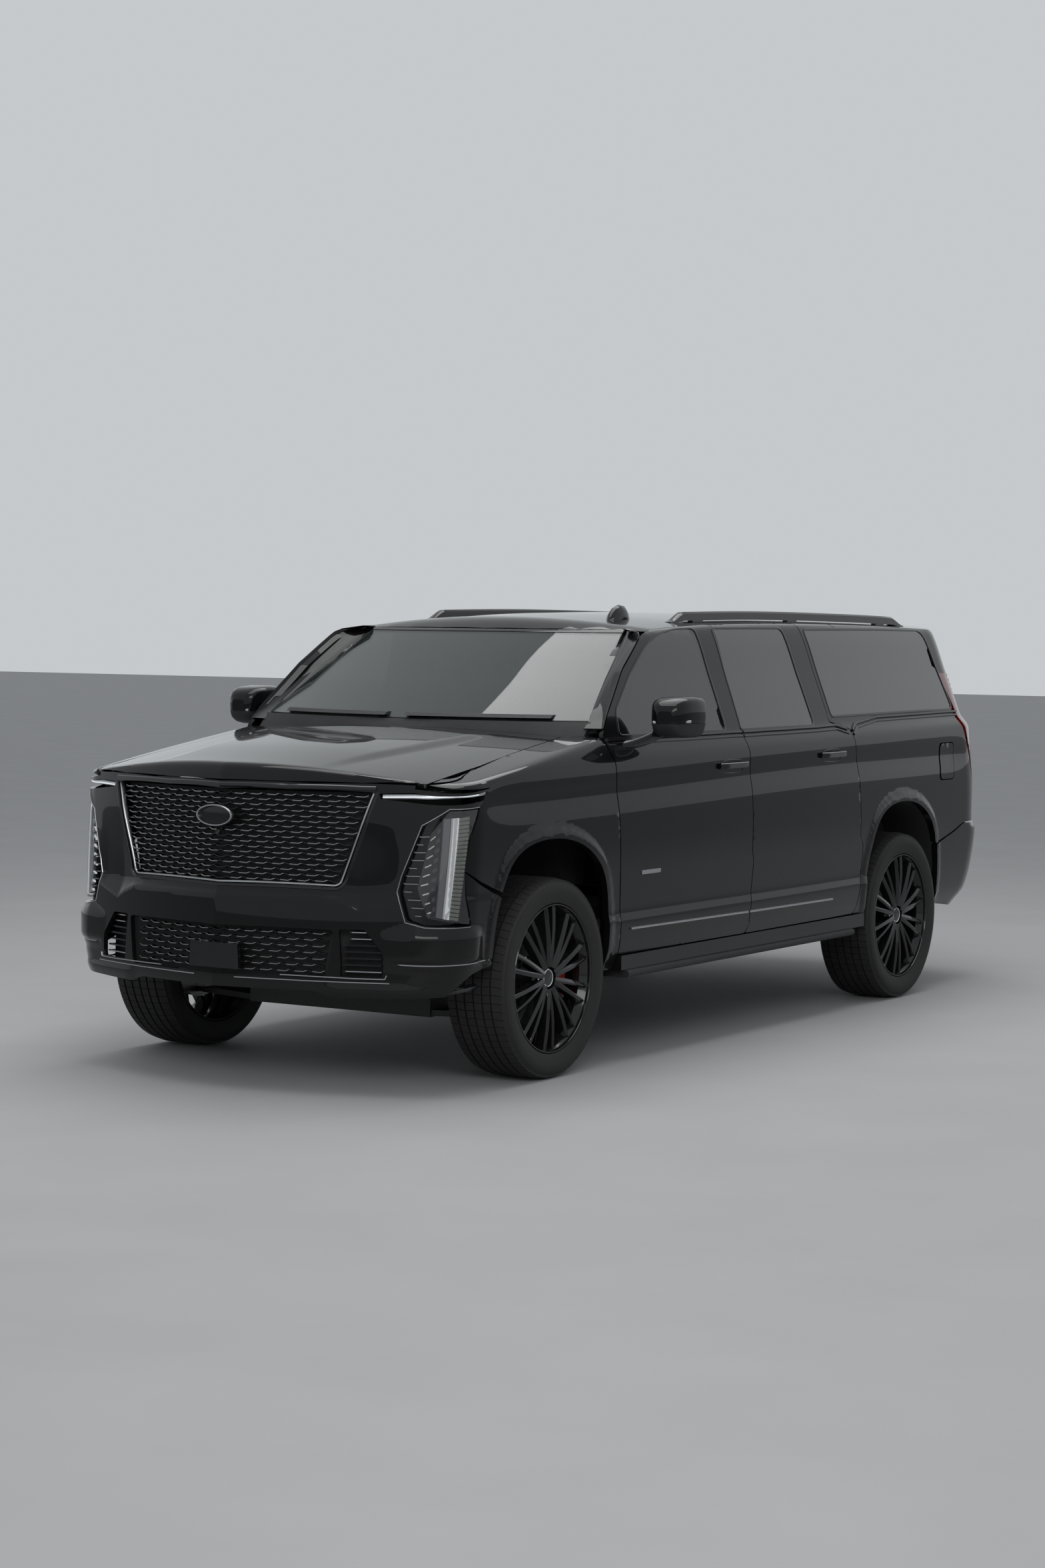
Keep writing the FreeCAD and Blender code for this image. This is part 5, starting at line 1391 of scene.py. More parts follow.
def build_lamp(sign, side):
    """A tall headlamp: vent fins inboard, small lenses, and the bright light bar outboard."""
    turn = (lambda p: p) if sign > 0 else flipped
    hole = trace(front, [("xz", LAMP_INNER), ("yz", LAMP_OUTER)])
    hole = nicked(hole, 0.02)
    back = panel("lamp_back_" + side, front, hole, [], 0.006, gloss, sign,
                 push=lambda p: np.full(len(p), -0.060),
                 bevel=0.0, step=0.03)
    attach(back, "body")
    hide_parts("headlamps")
    spots = {}
    for key, view, point in (("vt0", "xz", (0.828, 1.058)), ("vt1", "xz", (0.866, 1.060)),
            ("vm0", "xz", (0.767, 0.836)),
                             ("vm1", "xz", (0.826, 0.836)), ("vb0", "xz", (0.822, 0.715)),
                             ("vb1", "xz", (0.868, 0.712)),
                             ("bt0", "xz", (0.905, 1.112)), ("bt1", "yz", (-2.462, 1.122)),
                             ("bb0", "xz", (0.893, 0.722)),
                             ("bb1", "yz", (-2.520, 0.702))):
        spots[key] = front.locate([point], AXES[view])[0]

    def mid(a, b, t):
        return a * (1 - t) + b * t

    def vent(t):
        """Inner and outer ends of the fins at a share t of the lamp's height."""
        if t > 0.35:
            u = (t - 0.35) / 0.65
            return mid(spots["vm0"], spots["vt0"], u), mid(spots["vm1"], spots["vt1"], u)
        u = t / 0.35
        return mid(spots["vb0"], spots["vm0"], u), mid(spots["vb1"], spots["vm1"], u)

    def bar(t):
        return mid(spots["bb0"], spots["bt0"], t), mid(spots["bb1"], spots["bt1"], t)

    up = np.array((0.0, 1.0))
    fins, marks, lenses, bezels, ribs, guide, frame_bar, short = [], [], [], [], [], [], [], []
    for k in range(11):
        t = (k + 0.4) / 11.0
        a, b = vent(t)
        fins.append(cell(front, (a, b, b + up * 0.006, a + up * 0.006), 0.012, 0.055))
        c = mid(a, b, 0.08)
        d = mid(a, b, 0.95 if k % 3 else 0.55)
        marks.append(cell(front, (c, d, d + up * 0.0022, c + up * 0.0022), 0.0105, 0.014))
    for k in range(9):
        t = 0.06 + 0.82 * k / 8.0
        a = vent(t)[1]
        b = bar(t)[0]
        c, d = mid(a, b, 0.12), mid(a, b, 0.48)
        short.append(cell(front, (c, d, d + up * 0.006, c + up * 0.006), 0.022, 0.030))
        c, d = mid(a, b, 0.56), mid(a, b, 0.92)
        bezels.append(cell(front, (c, d, d + up * 0.026, c + up * 0.026), 0.034, 0.050))
        c, d = mid(a, b, 0.62), mid(a, b, 0.86)
        lenses.append(cell(front, (c + up * 0.005, d + up * 0.005, d + up * 0.021, c + up * 0.021), 0.026,
                0.036))
    count = 26
    for k in range(count):
        t0, t1 = (k + 0.10) / count, (k + 0.86) / count
        a0, b0 = bar(t0)
        a1, b1 = bar(t1)
        ribs.append(cell(front, (mid(a0, b0, 0.58), mid(a0, b0, 0.97), mid(a1, b1, 0.97),
                mid(a1, b1, 0.58)), 0.012, 0.030))
    steps = 10
    for k in range(steps):
        a0, b0 = bar(k / float(steps))
        a1, b1 = bar((k + 1) / float(steps))
        guide.append(cell(front, (mid(a0, b0, 0.32), mid(a0, b0, 0.52), mid(a1, b1, 0.52),
                mid(a1, b1, 0.32)), 0.006, 0.030))
        frame_bar.append(cell(front, (mid(a0, b0, 0.0), mid(a0, b0, 0.24), mid(a1, b1, 0.24),
                mid(a1, b1, 0.0)), 0.012, 0.030))
    for label, pieces, material in (("fins", fins, gloss), ("fin_edges", marks, satin),
            ("bezels", bezels, smoked),
                                    ("lenses", lenses, lamp_eye), ("ribs", ribs, lamp_rib),
                                    ("guide", guide, lamp_glow),
                                    ("bar", frame_bar, lamp_silver), ("marks", short, lamp_glow)):
        show("lamp_%s_%s" % (label, side), [turn(p) for p in pieces], material)
    lens_outline = [mid(*vent(t), 1.0) for t in (0.02, 0.35, 0.98)]
    outer = trace(front, [("xz", ((0.918, 1.142),)),
                          ("yz", ((-2.424, 1.150), (-2.478, 1.038), (-2.501, 0.900),
                                                             (-2.497, 0.800), (-2.470, 0.690)))])
    lens = panel("lamp_lens_" + side, front, nicked(np.concatenate((lens_outline, outer)), 0.012), [],
                 0.003, lamp_glass,
                 sign, push=lambda p: np.full(len(p), -0.003), bevel=0.0, step=0.03)
    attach(lens, "body")
    edge = trace(front, [("yz", ((-2.424, 1.156),)),
                         ("xz", ((0.918, 1.151), (0.833, 1.086), (0.765, 0.880), (0.752, 0.821),
                                                            (0.787, 0.701), (0.855, 0.682))),
                         ("yz", ((-2.47, 0.680),))])
    points, normals = along(front, edge, 0.014, lift=-0.001, push=front_form)
    show("lamp_edge_" + side, [turn(ribbon(points, normals, 0.0045, 0.003))], satin)
    strip_quad = trace(front, [("xz", ((0.682, 1.190), (0.80, 1.193), (0.90, 1.194))),
            ("yz", ((-2.52, 1.196), (-2.42, 1.200), (-2.352, 1.204)))])
    points, normals = along(front, strip_quad + up * 0.009, 0.02, lift=-0.010)
    show("strip_lamp_" + side, [turn(ribbon(points, normals, 0.017, 0.004, 0.02))], lamp_silver)
    points, normals = along(front, strip_quad[:5] + up * 0.006, 0.02, lift=-0.007)
    show("strip_light_" + side, [turn(ribbon(points, normals, 0.006, 0.004, 0.002))], lamp_glow)


build_body()
build_front()


TAIL_LAMP = ((0.8565, 0.872), (0.925, 0.872), (0.850, 1.640), (0.745, 1.640))
GATE_GLASS = ((0.0, 1.830), (0.640, 1.830), (0.730, 1.420), (0.0, 1.420))


def box_piece(x0, x1, y0, y1, z0, z1):
    """A plain box between two corners."""
    return block([(x, y, z) for z in (z0, z1) for x, y in ((x0, y0), (x1, y0), (x1, y1), (x0, y1))])


def sided(sign, pieces):
    """The pieces on the side that sign names."""
    return pieces if sign > 0 else [flipped(p) for p in pieces]


def open_at_middle(surface, hole):
    """Carries a hole that ends at the middle plane a little past it."""
    edge = surface.at(hole)[:, 0] < 2e-3
    side = -0.02 if hole[:, 0].mean() < 0.5 * surface.table.shape[0] * surface.step else 0.02
    hole[edge, 0] += side
    return hole


def build_quarter(side, sign):
    """A rear quarter with its sill, middle pillar, fuel door and tail lamp."""
    runs = [("yz", ((0.974, 0.470), (0.974, 1.169), (0.934, 1.385), (0.762, 1.421))),
            ("xy", ((0.770, 0.692), (0.770, 1.2), (0.770, 1.7), (0.770, 2.2))),
            ("xz", ((0.696, 1.870), (0.856, 0.852))),
            ("yz", ((2.33, 0.852), (1.960, 0.760))), ("yz", arch_part(REAR_AXLE_Y, 0.464, 0.77)[::-1]),
            ("yz", ((1.088, 0.464),))]
    holes = [nicked(flank.locate(QUARTER_WINDOW, (1, 2)), QUARTER_WINDOW_CORNERS),
             nicked(flank.locate(TAIL_LAMP, (0, 2)), 0.01)]
    if sign > 0:
        holes.append(nicked(flank.locate(((1.984, 1.085), (2.182, 1.085), (2.182, 1.281), (1.984, 1.281)),
                (1, 2)), 0.03))
    quarter = panel("quarter_panel_" + side, flank, nicked(trace(flank, runs), 0.006, 3), holes,
                    PANEL_THICK, paint, sign,
                    push=side_form)
    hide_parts("body_side_" + side)
    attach(quarter, "body")
    foot = [(x, y, z) for x, z in ((0.80, 0.44), (0.85, 0.44), (0.85, 1.30), (0.748, 1.835), (0.70, 1.835),
            (0.80, 1.30))
            for y in (-0.300, -0.168)]
    pillar = (foot, [(0, 2, 3, 1), (2, 4, 5, 3), (4, 6, 7, 5), (6, 8, 9, 7), (8, 10, 11, 9), (10, 0, 1, 11),
                     (0, 10, 4, 2), (10, 8, 6, 4), (1, 3, 5, 11), (11, 5, 7, 9)])
    sill = box_piece(0.80, 1.001, -1.318, 1.090, 0.400, 0.464)
    show("sill_and_pillar_" + side, sided(sign, [pillar, sill]), paint)
    if sign > 0:
        door = panel("fuel_door_skin", flank, nicked(flank.locate(((2.002, 1.090), (2.178, 1.090),
                (2.178, 1.276),
                     (2.002, 1.276)), (1, 2)), 0.03), [], 0.008, paint, push=side_form, bevel=0.001)
        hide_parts("fuel_door")
        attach(door, "fuel_door")
    lamp = panel("tail_lamp_" + side, flank, nicked(flank.locate(shrunk(TAIL_LAMP, 0.002), (0, 2)), 0.01),
                 [], 0.03,
                 red_glass, sign, step=0.014, bevel=0.001)
    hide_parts("tail_lamps")
    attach(lamp, "body")
    bars = []
    for k in range(30):
        t0, t1 = (k + 0.1) / 30, (k + 0.75) / 30
        low, high = np.array(TAIL_LAMP[:2]), np.array(TAIL_LAMP[3:1:-1])
        quad = [low[0] + (high[0] - low[0]) * t0, low[1] + (high[1] - low[1]) * t0,
                low[1] + (high[1] - low[1]) * t1, low[0] + (high[0] - low[0]) * t1]
        quad = np.array(quad)
        middle = (quad[0] + quad[1]) / 2
        quad = middle + (quad - middle) * (0.55, 1.0)
        bars.append(cell(flank, flank.locate(quad, (0, 2)), -0.0015, 0.004))
    show("tail_lamp_ribs_" + side, sided(sign, bars), red_light)


def shrunk(outline, by):
    """The outline with each corner drawn towards the middle by about by."""
    points = np.array(outline, float)
    middle = points.mean(0)
    away_from = points - middle
    return middle + away_from - np.sign(away_from) * by


def pane(name, surface, outline, sign, material, body, node, whole=False):
    """A glass pane in a surface, in place of a node."""
    glass = panel(name, surface, outline, [], 0.005, material, sign, step=0.03, whole=whole,
                  push=lambda p: np.full(len(p), -0.0015), bevel=0.0)
    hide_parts(node)
    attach(glass, body)
    return glass


def inset(outline, by):
    """An outline of grid places moved inwards by by."""
    points = np.array(outline, float)
    following, before = np.roll(points, -1, 0) - points, points - np.roll(points, 1, 0)
    def unit(v):
        return v / np.maximum(np.linalg.norm(v, axis=1), 1e-9)[:, None]
    area = 0.5 * np.sum(points[:, 0] * np.roll(points[:, 1], -1) - points[:, 1] * np.roll(points[:, 0], -1))
    turn = 1.0 if area > 0 else -1.0
    a, b = unit(following), unit(before)
    n = unit(np.stack((-(a + b)[:, 1], (a + b)[:, 0]), 1)) * turn
    return points + n * by


def window_trim(name, surface, outline, sign, body, push=side_form, width=0.014):
    """A gloss frame round a window."""
    points, normals = along(surface, inset(outline, -0.004), 0.02, lift=0.0, loop=True, push=push)
    show(name, sided(sign, [ribbon(points, normals, width, 0.0025, 0.004, loop=True)]), gloss, body)


def build_glass():
    """All the panes with their trims."""
    for side, sign in SIDES:
        for label, outline, corner, body in (
                ("front", FRONT_WINDOW, FRONT_WINDOW_CORNERS, "door_front_" + side),
                ("rear", REAR_WINDOW, REAR_WINDOW_CORNERS, "door_rear_" + side)):
            hole = nicked(flank.locate(outline, (1, 2)), corner)
            pane("glass_%s_%s" % (label, side), flank, inset(hole, 0.0008), sign,
                 side_glass if label == "front" else privacy_glass, body, "glass_%s_%s" % (label, side))
            window_trim("window_trim_%s_%s" % (label, side), flank, hole, sign, body)
        hole = nicked(flank.locate(QUARTER_WINDOW, (1, 2)), QUARTER_WINDOW_CORNERS)
        pane("quarter_glass_" + side, flank, inset(hole, 0.0008), sign, privacy_glass, "body",
             "quarter_glasses")
        window_trim("quarter_trim_" + side, flank, hole, sign, "body")
    hole = trace(screen, [("xz", ((0.0, 1.86), (0.35, 1.86), (0.690, 1.860), (0.846, 1.472), (0.45, 1.472),
            (0.0, 1.472)))])
    pane("windshield_pane", screen, hole, 1.0, screen_glass, "body", "windshield", whole=True)
    hole = flank.locate(GATE_GLASS, (0, 2))
    pane("rear_pane", flank, hole, 1.0, privacy_glass, "liftgate", "rear_glass", whole=True)
    top = trace(screen, [("xz", ((0.0, 1.852), (0.35, 1.852), (0.680, 1.852)))])
    points, normals = along(screen, top, 0.03, lift=0.0)
    show("shade_band", both_sides([ribbon(points, normals, 0.020, 0.001, 0.0008)]), gloss)


def build_pillars():
    """The pillars beside the windscreen, and the panel at its foot."""
    for side, sign in SIDES:
        columns = 9
        zs = np.linspace(1.440, 1.866, 30)
        inner_x = np.interp(zs, (1.440, 1.472, 1.664, 1.860), (0.852, 0.847, 0.771, 0.691))
        inner = screen.at(screen.locate(np.stack((inner_x, zs), 1), (0, 2)))
        outer_y = np.interp(zs, (1.418, 1.506, 1.692, 1.844, 1.875),
                (-1.404, -1.322, -1.110, -0.874, -0.800))
        outer = flank.at(flank.locate(np.stack((outer_y, zs), 1), (1, 2)))
        bend = np.stack((outer[:, 0], np.minimum(inner[:, 1] + 0.35 * (outer[:, 0] - inner[:, 0]),
                outer[:, 1] + 0.035), zs), 1)
        tip = roof_top.at(roof_top.locate(((0.766, -0.732),), (0, 1)))[0] - (0.0, 0.0, 0.004)
        ends = np.linspace(0, 1, 5)[1:, None]
        inner, bend, outer = [np.concatenate((line, line[-1] * (1 - ends) + tip * ends))
                for line in (inner, bend, outer)]
        count = len(inner)
        total = count * columns
        rows = []
        for t in np.linspace(0, 1, columns):
            rows.append(inner * (1 - t) ** 2 + 2 * bend * t * (1 - t) + outer * t * t)
        skin = np.array(rows).transpose(1, 0, 2).reshape(-1, 3)
        back = skin + (-0.020, 0.024, -0.004)
        faces = []
        for i in range(count - 1):
            for k in range(columns - 1):
                a, b = i * columns + k, i * columns + k + 1
                c, d = b + columns, a + columns
                faces += [(a, b, c, d), tuple(v + total for v in (d, c, b, a))]
        rim = [k for k in range(columns)] + [i * columns + columns - 1 for i in range(1, count)]
        rim += [(count - 1) * columns + k for k in range(columns - 2, -1, -1)]
        rim += [i * columns for i in range(count - 2, 0, -1)]
        for a, b in zip(rim, rim[1:] + rim[:1]):
            faces.append((b, a, a + total, b + total))
        show("screen_pillar_" + side, sided(sign, [(np.concatenate((skin, back)), faces)]), paint,
             smooth=50.0)
    rows = []
    for x in np.linspace(-0.86, 0.86, 41):
        hood_edge = np.interp(abs(x), (0.0, 0.10, 0.25, 0.43, 0.80, 0.86),
                              (-1.666, -1.661, -1.631, -1.598, -1.506, -1.476))
        crown_z = float(crown(HOOD_CROWN, np.array([abs(x)]), np.array([hood_edge]))[0])
        glass_y = np.interp(abs(x), (0.0, 0.3, 0.6, 0.80, 0.86), (-1.575, -1.553, -1.480, -1.392, -1.356))
        rows.append([(x, hood_edge + 0.014, crown_z - 0.065), (x, hood_edge + 0.024, crown_z - 0.034),
                     (x, glass_y - 0.006, 1.466), (x, glass_y + 0.02, 1.462), (x, glass_y, 1.44),
                     (x, hood_edge + 0.02, crown_z - 0.085)])
    show("cowl_panel", [lofted(rows)], grained)


def build_gate():
    """Liftgate, spoiler, bright lines, blank panel and rear bumper."""
    outline = trace(flank, [("xy", ((0.0, 2.500), (0.40, 2.500), (0.684, 2.500))),
                            ("xz", ((0.690, 1.864), (0.850, 0.858), (0.45, 0.858), (0.0, 0.858)))])
    hole = open_at_middle(flank, nicked(flank.locate(GATE_GLASS, (0, 2)), (0.0, 0.03, 0.03, 0.0)))
    gate = panel("liftgate_skin", flank, outline, [hole], 0.05, paint, whole=True, push=gate_form)
    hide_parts("liftgate")
    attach(gate, "liftgate")
    lips = []
    ys = ((2.522, 1.885), (2.60, 1.898), (2.672, 1.892), (2.690, 1.882), (2.676, 1.874), (2.600, 1.868),
          (2.530, 1.858))
    for x in np.linspace(-0.610, 0.610, 31):
        shrink = 1.0 - 0.5 * max(0.0, (abs(x) - 0.50) / 0.11) ** 2
        drop = 0.020 * (abs(x) / 0.61) ** 2
        lips.append([(x, 2.522 + (y - 2.522) * shrink - 0.012 * (abs(x) / 0.61) ** 2,
                      1.875 + (z - 1.875) * shrink - drop)
                     for y, z in ys])
    show("roof_spoiler", [lofted(lips)], paint, "liftgate")
    lines = []
    for run, width, rise in ((((0.0, 1.330), (0.30, 1.330), (0.50, 1.330)), 0.014, 0.006),
                             (((0.0, 0.895), (0.40, 0.895), (0.800, 0.895)), 0.010, 0.005)):
        points, normals = along(flank, flank.locate(run, (0, 2)), 0.03, push=gate_form)
        lines.append(ribbon(points, normals, width, rise))
    show("gate_bright_lines", both_sides(lines), satin, "liftgate")
    quad = flank.locate(((0.0, 1.115), (0.200, 1.115), (0.200, 0.985), (0.0, 0.985)), (0, 2))
    plate = cell(flank, quad, -0.0010, 0.004, push=gate_form)
    show("blank_rear_panel", both_sides([plate]), gloss, "liftgate")

    outline = trace(flank, [("xz", ((0.0, 0.846), (0.45, 0.846), (0.850, 0.846))),
            ("yz", ((2.330, 0.846), (1.960, 0.754))),
                            ("yz", [p for p in arch_part(REAR_AXLE_Y, 9.0, 0.42) if p[1] < 0.74]),
                            ("xz", ((0.900, 0.405), (0.50, 0.400), (0.0, 0.400)))])
    hole = open_at_middle(flank, flank.locate(((0.0, 0.537), (0.050, 0.537), (0.050, 0.432), (0.0, 0.432)),
            (0, 2)))
    bumper = panel("rear_bumper_skin", flank, outline, [hole], PANEL_THICK, paint, whole=True,
                   push=bumper_form)
    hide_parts("rear_bumper")
    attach(bumper, "body")
    points, normals = along(flank, flank.locate(((0.0, 0.600), (0.4, 0.600), (0.80, 0.600)), (0, 2)), 0.03,
            push=bumper_form)
    show("rear_bumper_line", both_sides([ribbon(points, normals, 0.016, 0.006)]), satin)


def gate_form(points):
    """The hollow in the liftgate where a plate would sit."""
    z, x = points[:, 2], np.abs(points[:, 0])
    return -0.012 * smoothstep(z, 0.95, 0.99) * (1 - smoothstep(z, 1.26, 1.31)) * (1 - smoothstep(x, 0.40,
            0.46)) + side_form(points)


def bumper_form(points):
    """The rear bumper draws in low down."""
    z, y = points[:, 2], points[:, 1]
    return -0.02 * (1 - smoothstep(z, 0.60, 0.66)) * smoothstep(y, 2.5, 2.62) + arch_flare(points)


def build_side_trim():
    """Belt mouldings, low trims, handles and the plain bars on the doors."""
    for side, sign in SIDES:
        bands = (
            ("belt_front_" + side, "door_front_" + side,
             [("yz", ((-1.380, 1.392), (-0.9, 1.394), (-0.5, 1.394), (-0.187, 1.394)))]),
            ("belt_rear_" + side, "door_rear_" + side, [("yz",
                    ((-0.173, 1.394), (0.3, 1.395), (0.60, 1.396), (0.80, 1.400), (0.895, 1.378)))]),
            ("belt_quarter_" + side, "body", [("yz", ((0.948, 1.372), (1.02, 1.400), (1.3, 1.428),
                    (1.8, 1.431), (2.36, 1.434)))]),
        )
        for name, body, runs in bands:
            line = trace(flank, runs)
            pieces = []
            for offset, width, rise in ((0.0, 0.016, 0.009), (-0.017, 0.014, 0.005)):
                points, normals = along(flank, line + (0.0, offset), 0.03, push=side_form)
                pieces.append(ribbon(points, normals, width, rise))
            show(name, sided(sign, pieces), gloss, body)
        for name, body, y0, y1, z0, z1 in (("low_trim_front_" + side, "door_front_" + side, -1.250, -0.187,
                0.577, 0.569),
                                           ("low_trim_rear_" + side, "door_rear_" + side, -0.173, 0.700,
                                                   0.569, 0.563)):
            line = flank.locate(((y0, z0), (y1, z1)), (1, 2))
            points, normals = along(flank, line, 0.04, push=side_form)
            show(name, sided(sign, [ribbon(points, normals, 0.012, 0.008)]), satin, body)
        for name, (start, end, z) in (("front", (-0.490, -0.226, 1.250)), ("rear", (0.538, 0.802, 1.265))):
            line = flank.locate(((start, z), (end, z)), (1, 2))
            points, normals = along(flank, line, 0.011, push=side_form)
            t = np.linspace(0, 1, len(points))
            bow = np.clip(np.minimum(t, 1 - t) / 0.16, 0, 1)
            bow = bow * bow * (3 - 2 * bow)
            raised = points + normals * (0.006 + 0.020 * bow)[:, None]
            grip = ribbon(raised, normals, 0.026, 0.008, 0.010)
            show("handle_%s_%s" % (name, side), sided(sign, [grip]), paint, "door_%s_%s" % (name, side))
            up = np.array((0.0, 0.0, 0.0105))
            bright = ribbon(raised + up + normals * 0.0012, normals, 0.006, 0.0075, 0.008)
            show("handle_bright_%s_%s" % (name, side), sided(sign, [bright]), satin,
                 "door_%s_%s" % (name, side))
            ring = [((start + end) / 2 + 0.105 * squared(math.cos(a), 0.6),
                     z - 0.004 + 0.030 * squared(math.sin(a), 0.7)) for a in circle(32)]
            points, normals = along(flank, flank.locate(ring, (1, 2)), 0.012, push=side_form, loop=True)
            show("handle_bowl_%s_%s" % (name, side), sided(sign,
                    [ribbon(points, normals, 0.004, 0.0016, 0.002, loop=True)]),
                 gloss, "door_%s_%s" % (name, side))
        badge = panel("badge_bar_" + side, flank, nicked(flank.locate(((-1.17, 0.806), (-1.01, 0.806),
                (-1.01, 0.824),
                      (-1.17, 0.824)), (1, 2)), 0.004), [], 0.006, satin, sign,
                      push=lambda p: side_form(p) + 0.004, bevel=0.001)
        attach(badge, "door_front_" + side)


MIRROR_X = 1.1335
MIRROR_Z = 1.489
MIRROR_SQUARED = 0.42


def build_mirror(side, sign):
    """The mirror's painted shell, its grained lower half, signal, glass and arm."""
    rings = []
    for y, share, drift in ((-1.214, 0.30, 0.006), (-1.210, 0.52, 0.005), (-1.196, 0.72, 0.003),
            (-1.170, 0.88, 0.001),
                            (-1.130, 0.965, 0.0), (-1.06, 1.0, 0.0), (-1.005, 0.985, 0.0),
                            (-0.992, 0.955, 0.0),
                            (-0.992, 0.90, 0.0), (-1.004, 0.88, 0.0)):
        ring = []
        for a in circle(40):
            x = 0.0905 * share ** 0.8 * squared(math.cos(a), MIRROR_SQUARED)
            z = 0.0895 * share * squared(math.sin(a), MIRROR_SQUARED)
            taper = 1.0 - 0.10 * (z < 0) * abs(z) / 0.09
            bowed = 0.02 * (x > 0) * (x / 0.09) ** 2 * (y < -1.1)
            ring.append((MIRROR_X + x * taper + drift, y + bowed, MIRROR_Z + z))
        rings.append(ring)
    points, faces = lofted(rings)
    body = "door_front_" + side
    shell = merged("mirror_shell_" + side, sided(sign, [(points, faces)]), paint, 40.0)
    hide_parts("mirror_" + side)
    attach(shell, body)
    middle = points.mean(0)
    lower = points.copy()
    lower[:, 2] = np.minimum(lower[:, 2], 1.462)
    lower = middle + (lower - middle) * (1.012, 1.0, 1.012)
    lower[:, 0] = np.clip(lower[:, 0], 1.0425, 1.2247)
    show("mirror_lower_" + side, sided(sign, [(lower, faces)]), grained, body)
    line = []
    for a in np.linspace(-0.25, 1.0, 14):
        y = -1.214 + 0.085 * max(0.0, a) ** 2 + 0.006
        x = 1.113 + 0.106 * math.sin(max(a, -0.2) * 1.45)
        line.append((x, y, 1.468 + 0.004 * a))
    line = np.array(line)
    out = np.stack([(math.sin(max(0.0, a) * 1.45), -math.cos(max(0.0, a) * 1.45), 0.0)
                    for a in np.linspace(-0.25, 1.0, 14)])
    show("mirror_signal_" + side, sided(sign, [ribbon(line, out, 0.012, 0.004, 0.012)]), lamp_silver, body)
    glass = [(MIRROR_X + 0.080 * squared(math.cos(a), MIRROR_SQUARED),
              MIRROR_Z + 0.079 * squared(math.sin(a), MIRROR_SQUARED)) for a in circle(40)]
    plate = lofted([[(x, y, z) for x, z in glass] for y in (-1.006, -0.999)])
    show("mirror_glass_" + side, sided(sign, [plate]), chrome, body)
    arm = []
    for t in np.linspace(0, 1, 9):
        x = 0.990 + 0.085 * t
        y = -1.235 + 0.075 * t
        z = 1.372 + 0.042 * t ** 1.5
        half_y, half_z = 0.075 - 0.028 * t, 0.020 + 0.004 * t
        arm.append([(x, y + half_y * math.cos(a), z + half_z * math.sin(a)) for a in circle(16)])
    show("mirror_arm_" + side, sided(sign, [lofted(arm)]), gloss, body)


RAIL_X = 0.661
RAIL_TOP_Z = 1.951
RAIL_LIFT = 0.034


def build_roof_parts():
    """Roof rails on their feet, and the antenna cover."""
    ys = np.concatenate((np.linspace(-0.336, -0.20, 10), np.linspace(-0.1, 1.95, 24),
                         np.linspace(2.05, 2.188, 8)))
    section = ((-0.019, -0.030), (-0.019, 0.004), (-0.012, 0.011), (0.010, 0.011), (0.019, 0.003),
               (0.020, -0.030))
    rows = []
    for y in ys:
        roof_z = float(crown(ROOF_CROWN, np.array([RAIL_X]), np.array([y]))[0])
        lift = RAIL_LIFT * smoothstep(y, -0.338, -0.20) * (1 - smoothstep(y, 2.03, 2.19))
        rows.append([(RAIL_X + a, y, roof_z + lift + b * (0.25 + 0.75 * lift / RAIL_LIFT))
                     for a, b in section])
    rows = np.array(rows)
    rows[:, :, 2] = np.minimum(rows[:, :, 2], RAIL_TOP_Z)
    rails = show("roof_rail_bars", both_sides([lofted(rows)]), gloss)
    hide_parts("roof_rails")
    feet = [box_piece(0.648, 0.674, y, y + 0.10, 1.872, 1.93) for y in (-0.12, 0.85, 1.86)]
    show("roof_rail_feet", both_sides(feet), gloss)
    pod = []
    for y, half, top in ((-0.563, 0.004, 1.905), (-0.550, 0.020, 1.935), (-0.520, 0.027, 1.960),
                         (-0.480, 0.030, 1.973),
                         (-0.440, 0.029, 1.970), (-0.415, 0.024, 1.950), (-0.398, 0.010, 1.915)):
        pod.append([(0.480 + half * math.cos(a), y, 1.895 + (top - 1.895) * max(0.0, math.sin(a)) ** 0.8
                     + (0.0 if math.sin(a) >= 0 else -0.01)) for a in circle(20)])
    cover = show("antenna_cover", [lofted(pod)], gloss)
    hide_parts("roof_antenna")


def pad(centre, size, lean=0.0, power=0.42, turns=28, crown_by=0.08):
    """A crowned cushion with rounded edges, leaning back by lean about the x axis."""
    a, b, c = np.array(size) / 2.0
    rows = turns // 2
    points = []
    for i in range(rows + 1):
        v = -math.pi / 2 + math.pi * i / rows
        cv, sv = abs(math.cos(v)) ** power, squared(math.sin(v), power)
        for k in range(turns):
            u = 2 * math.pi * k / turns
            cu, su = squared(math.cos(u), power), squared(math.sin(u), power)
            x, y, z = a * cv * cu, b * cv * su, c * sv
            y *= 1 + crown_by * (1 - (x / a) ** 2) * (1 - (z / c) ** 2) * (y < 0)
            y2, z2 = y * math.cos(lean) + z * math.sin(lean), z * math.cos(lean) - y * math.sin(lean)
            points.append((centre[0] + x, centre[1] + y2, centre[2] + z2))
    faces = [(i * turns + k, i * turns + (k + 1) % turns, (i + 1) * turns + (k + 1) % turns,
              (i + 1) * turns + k)
             for i in range(rows) for k in range(turns)]
    return points, faces


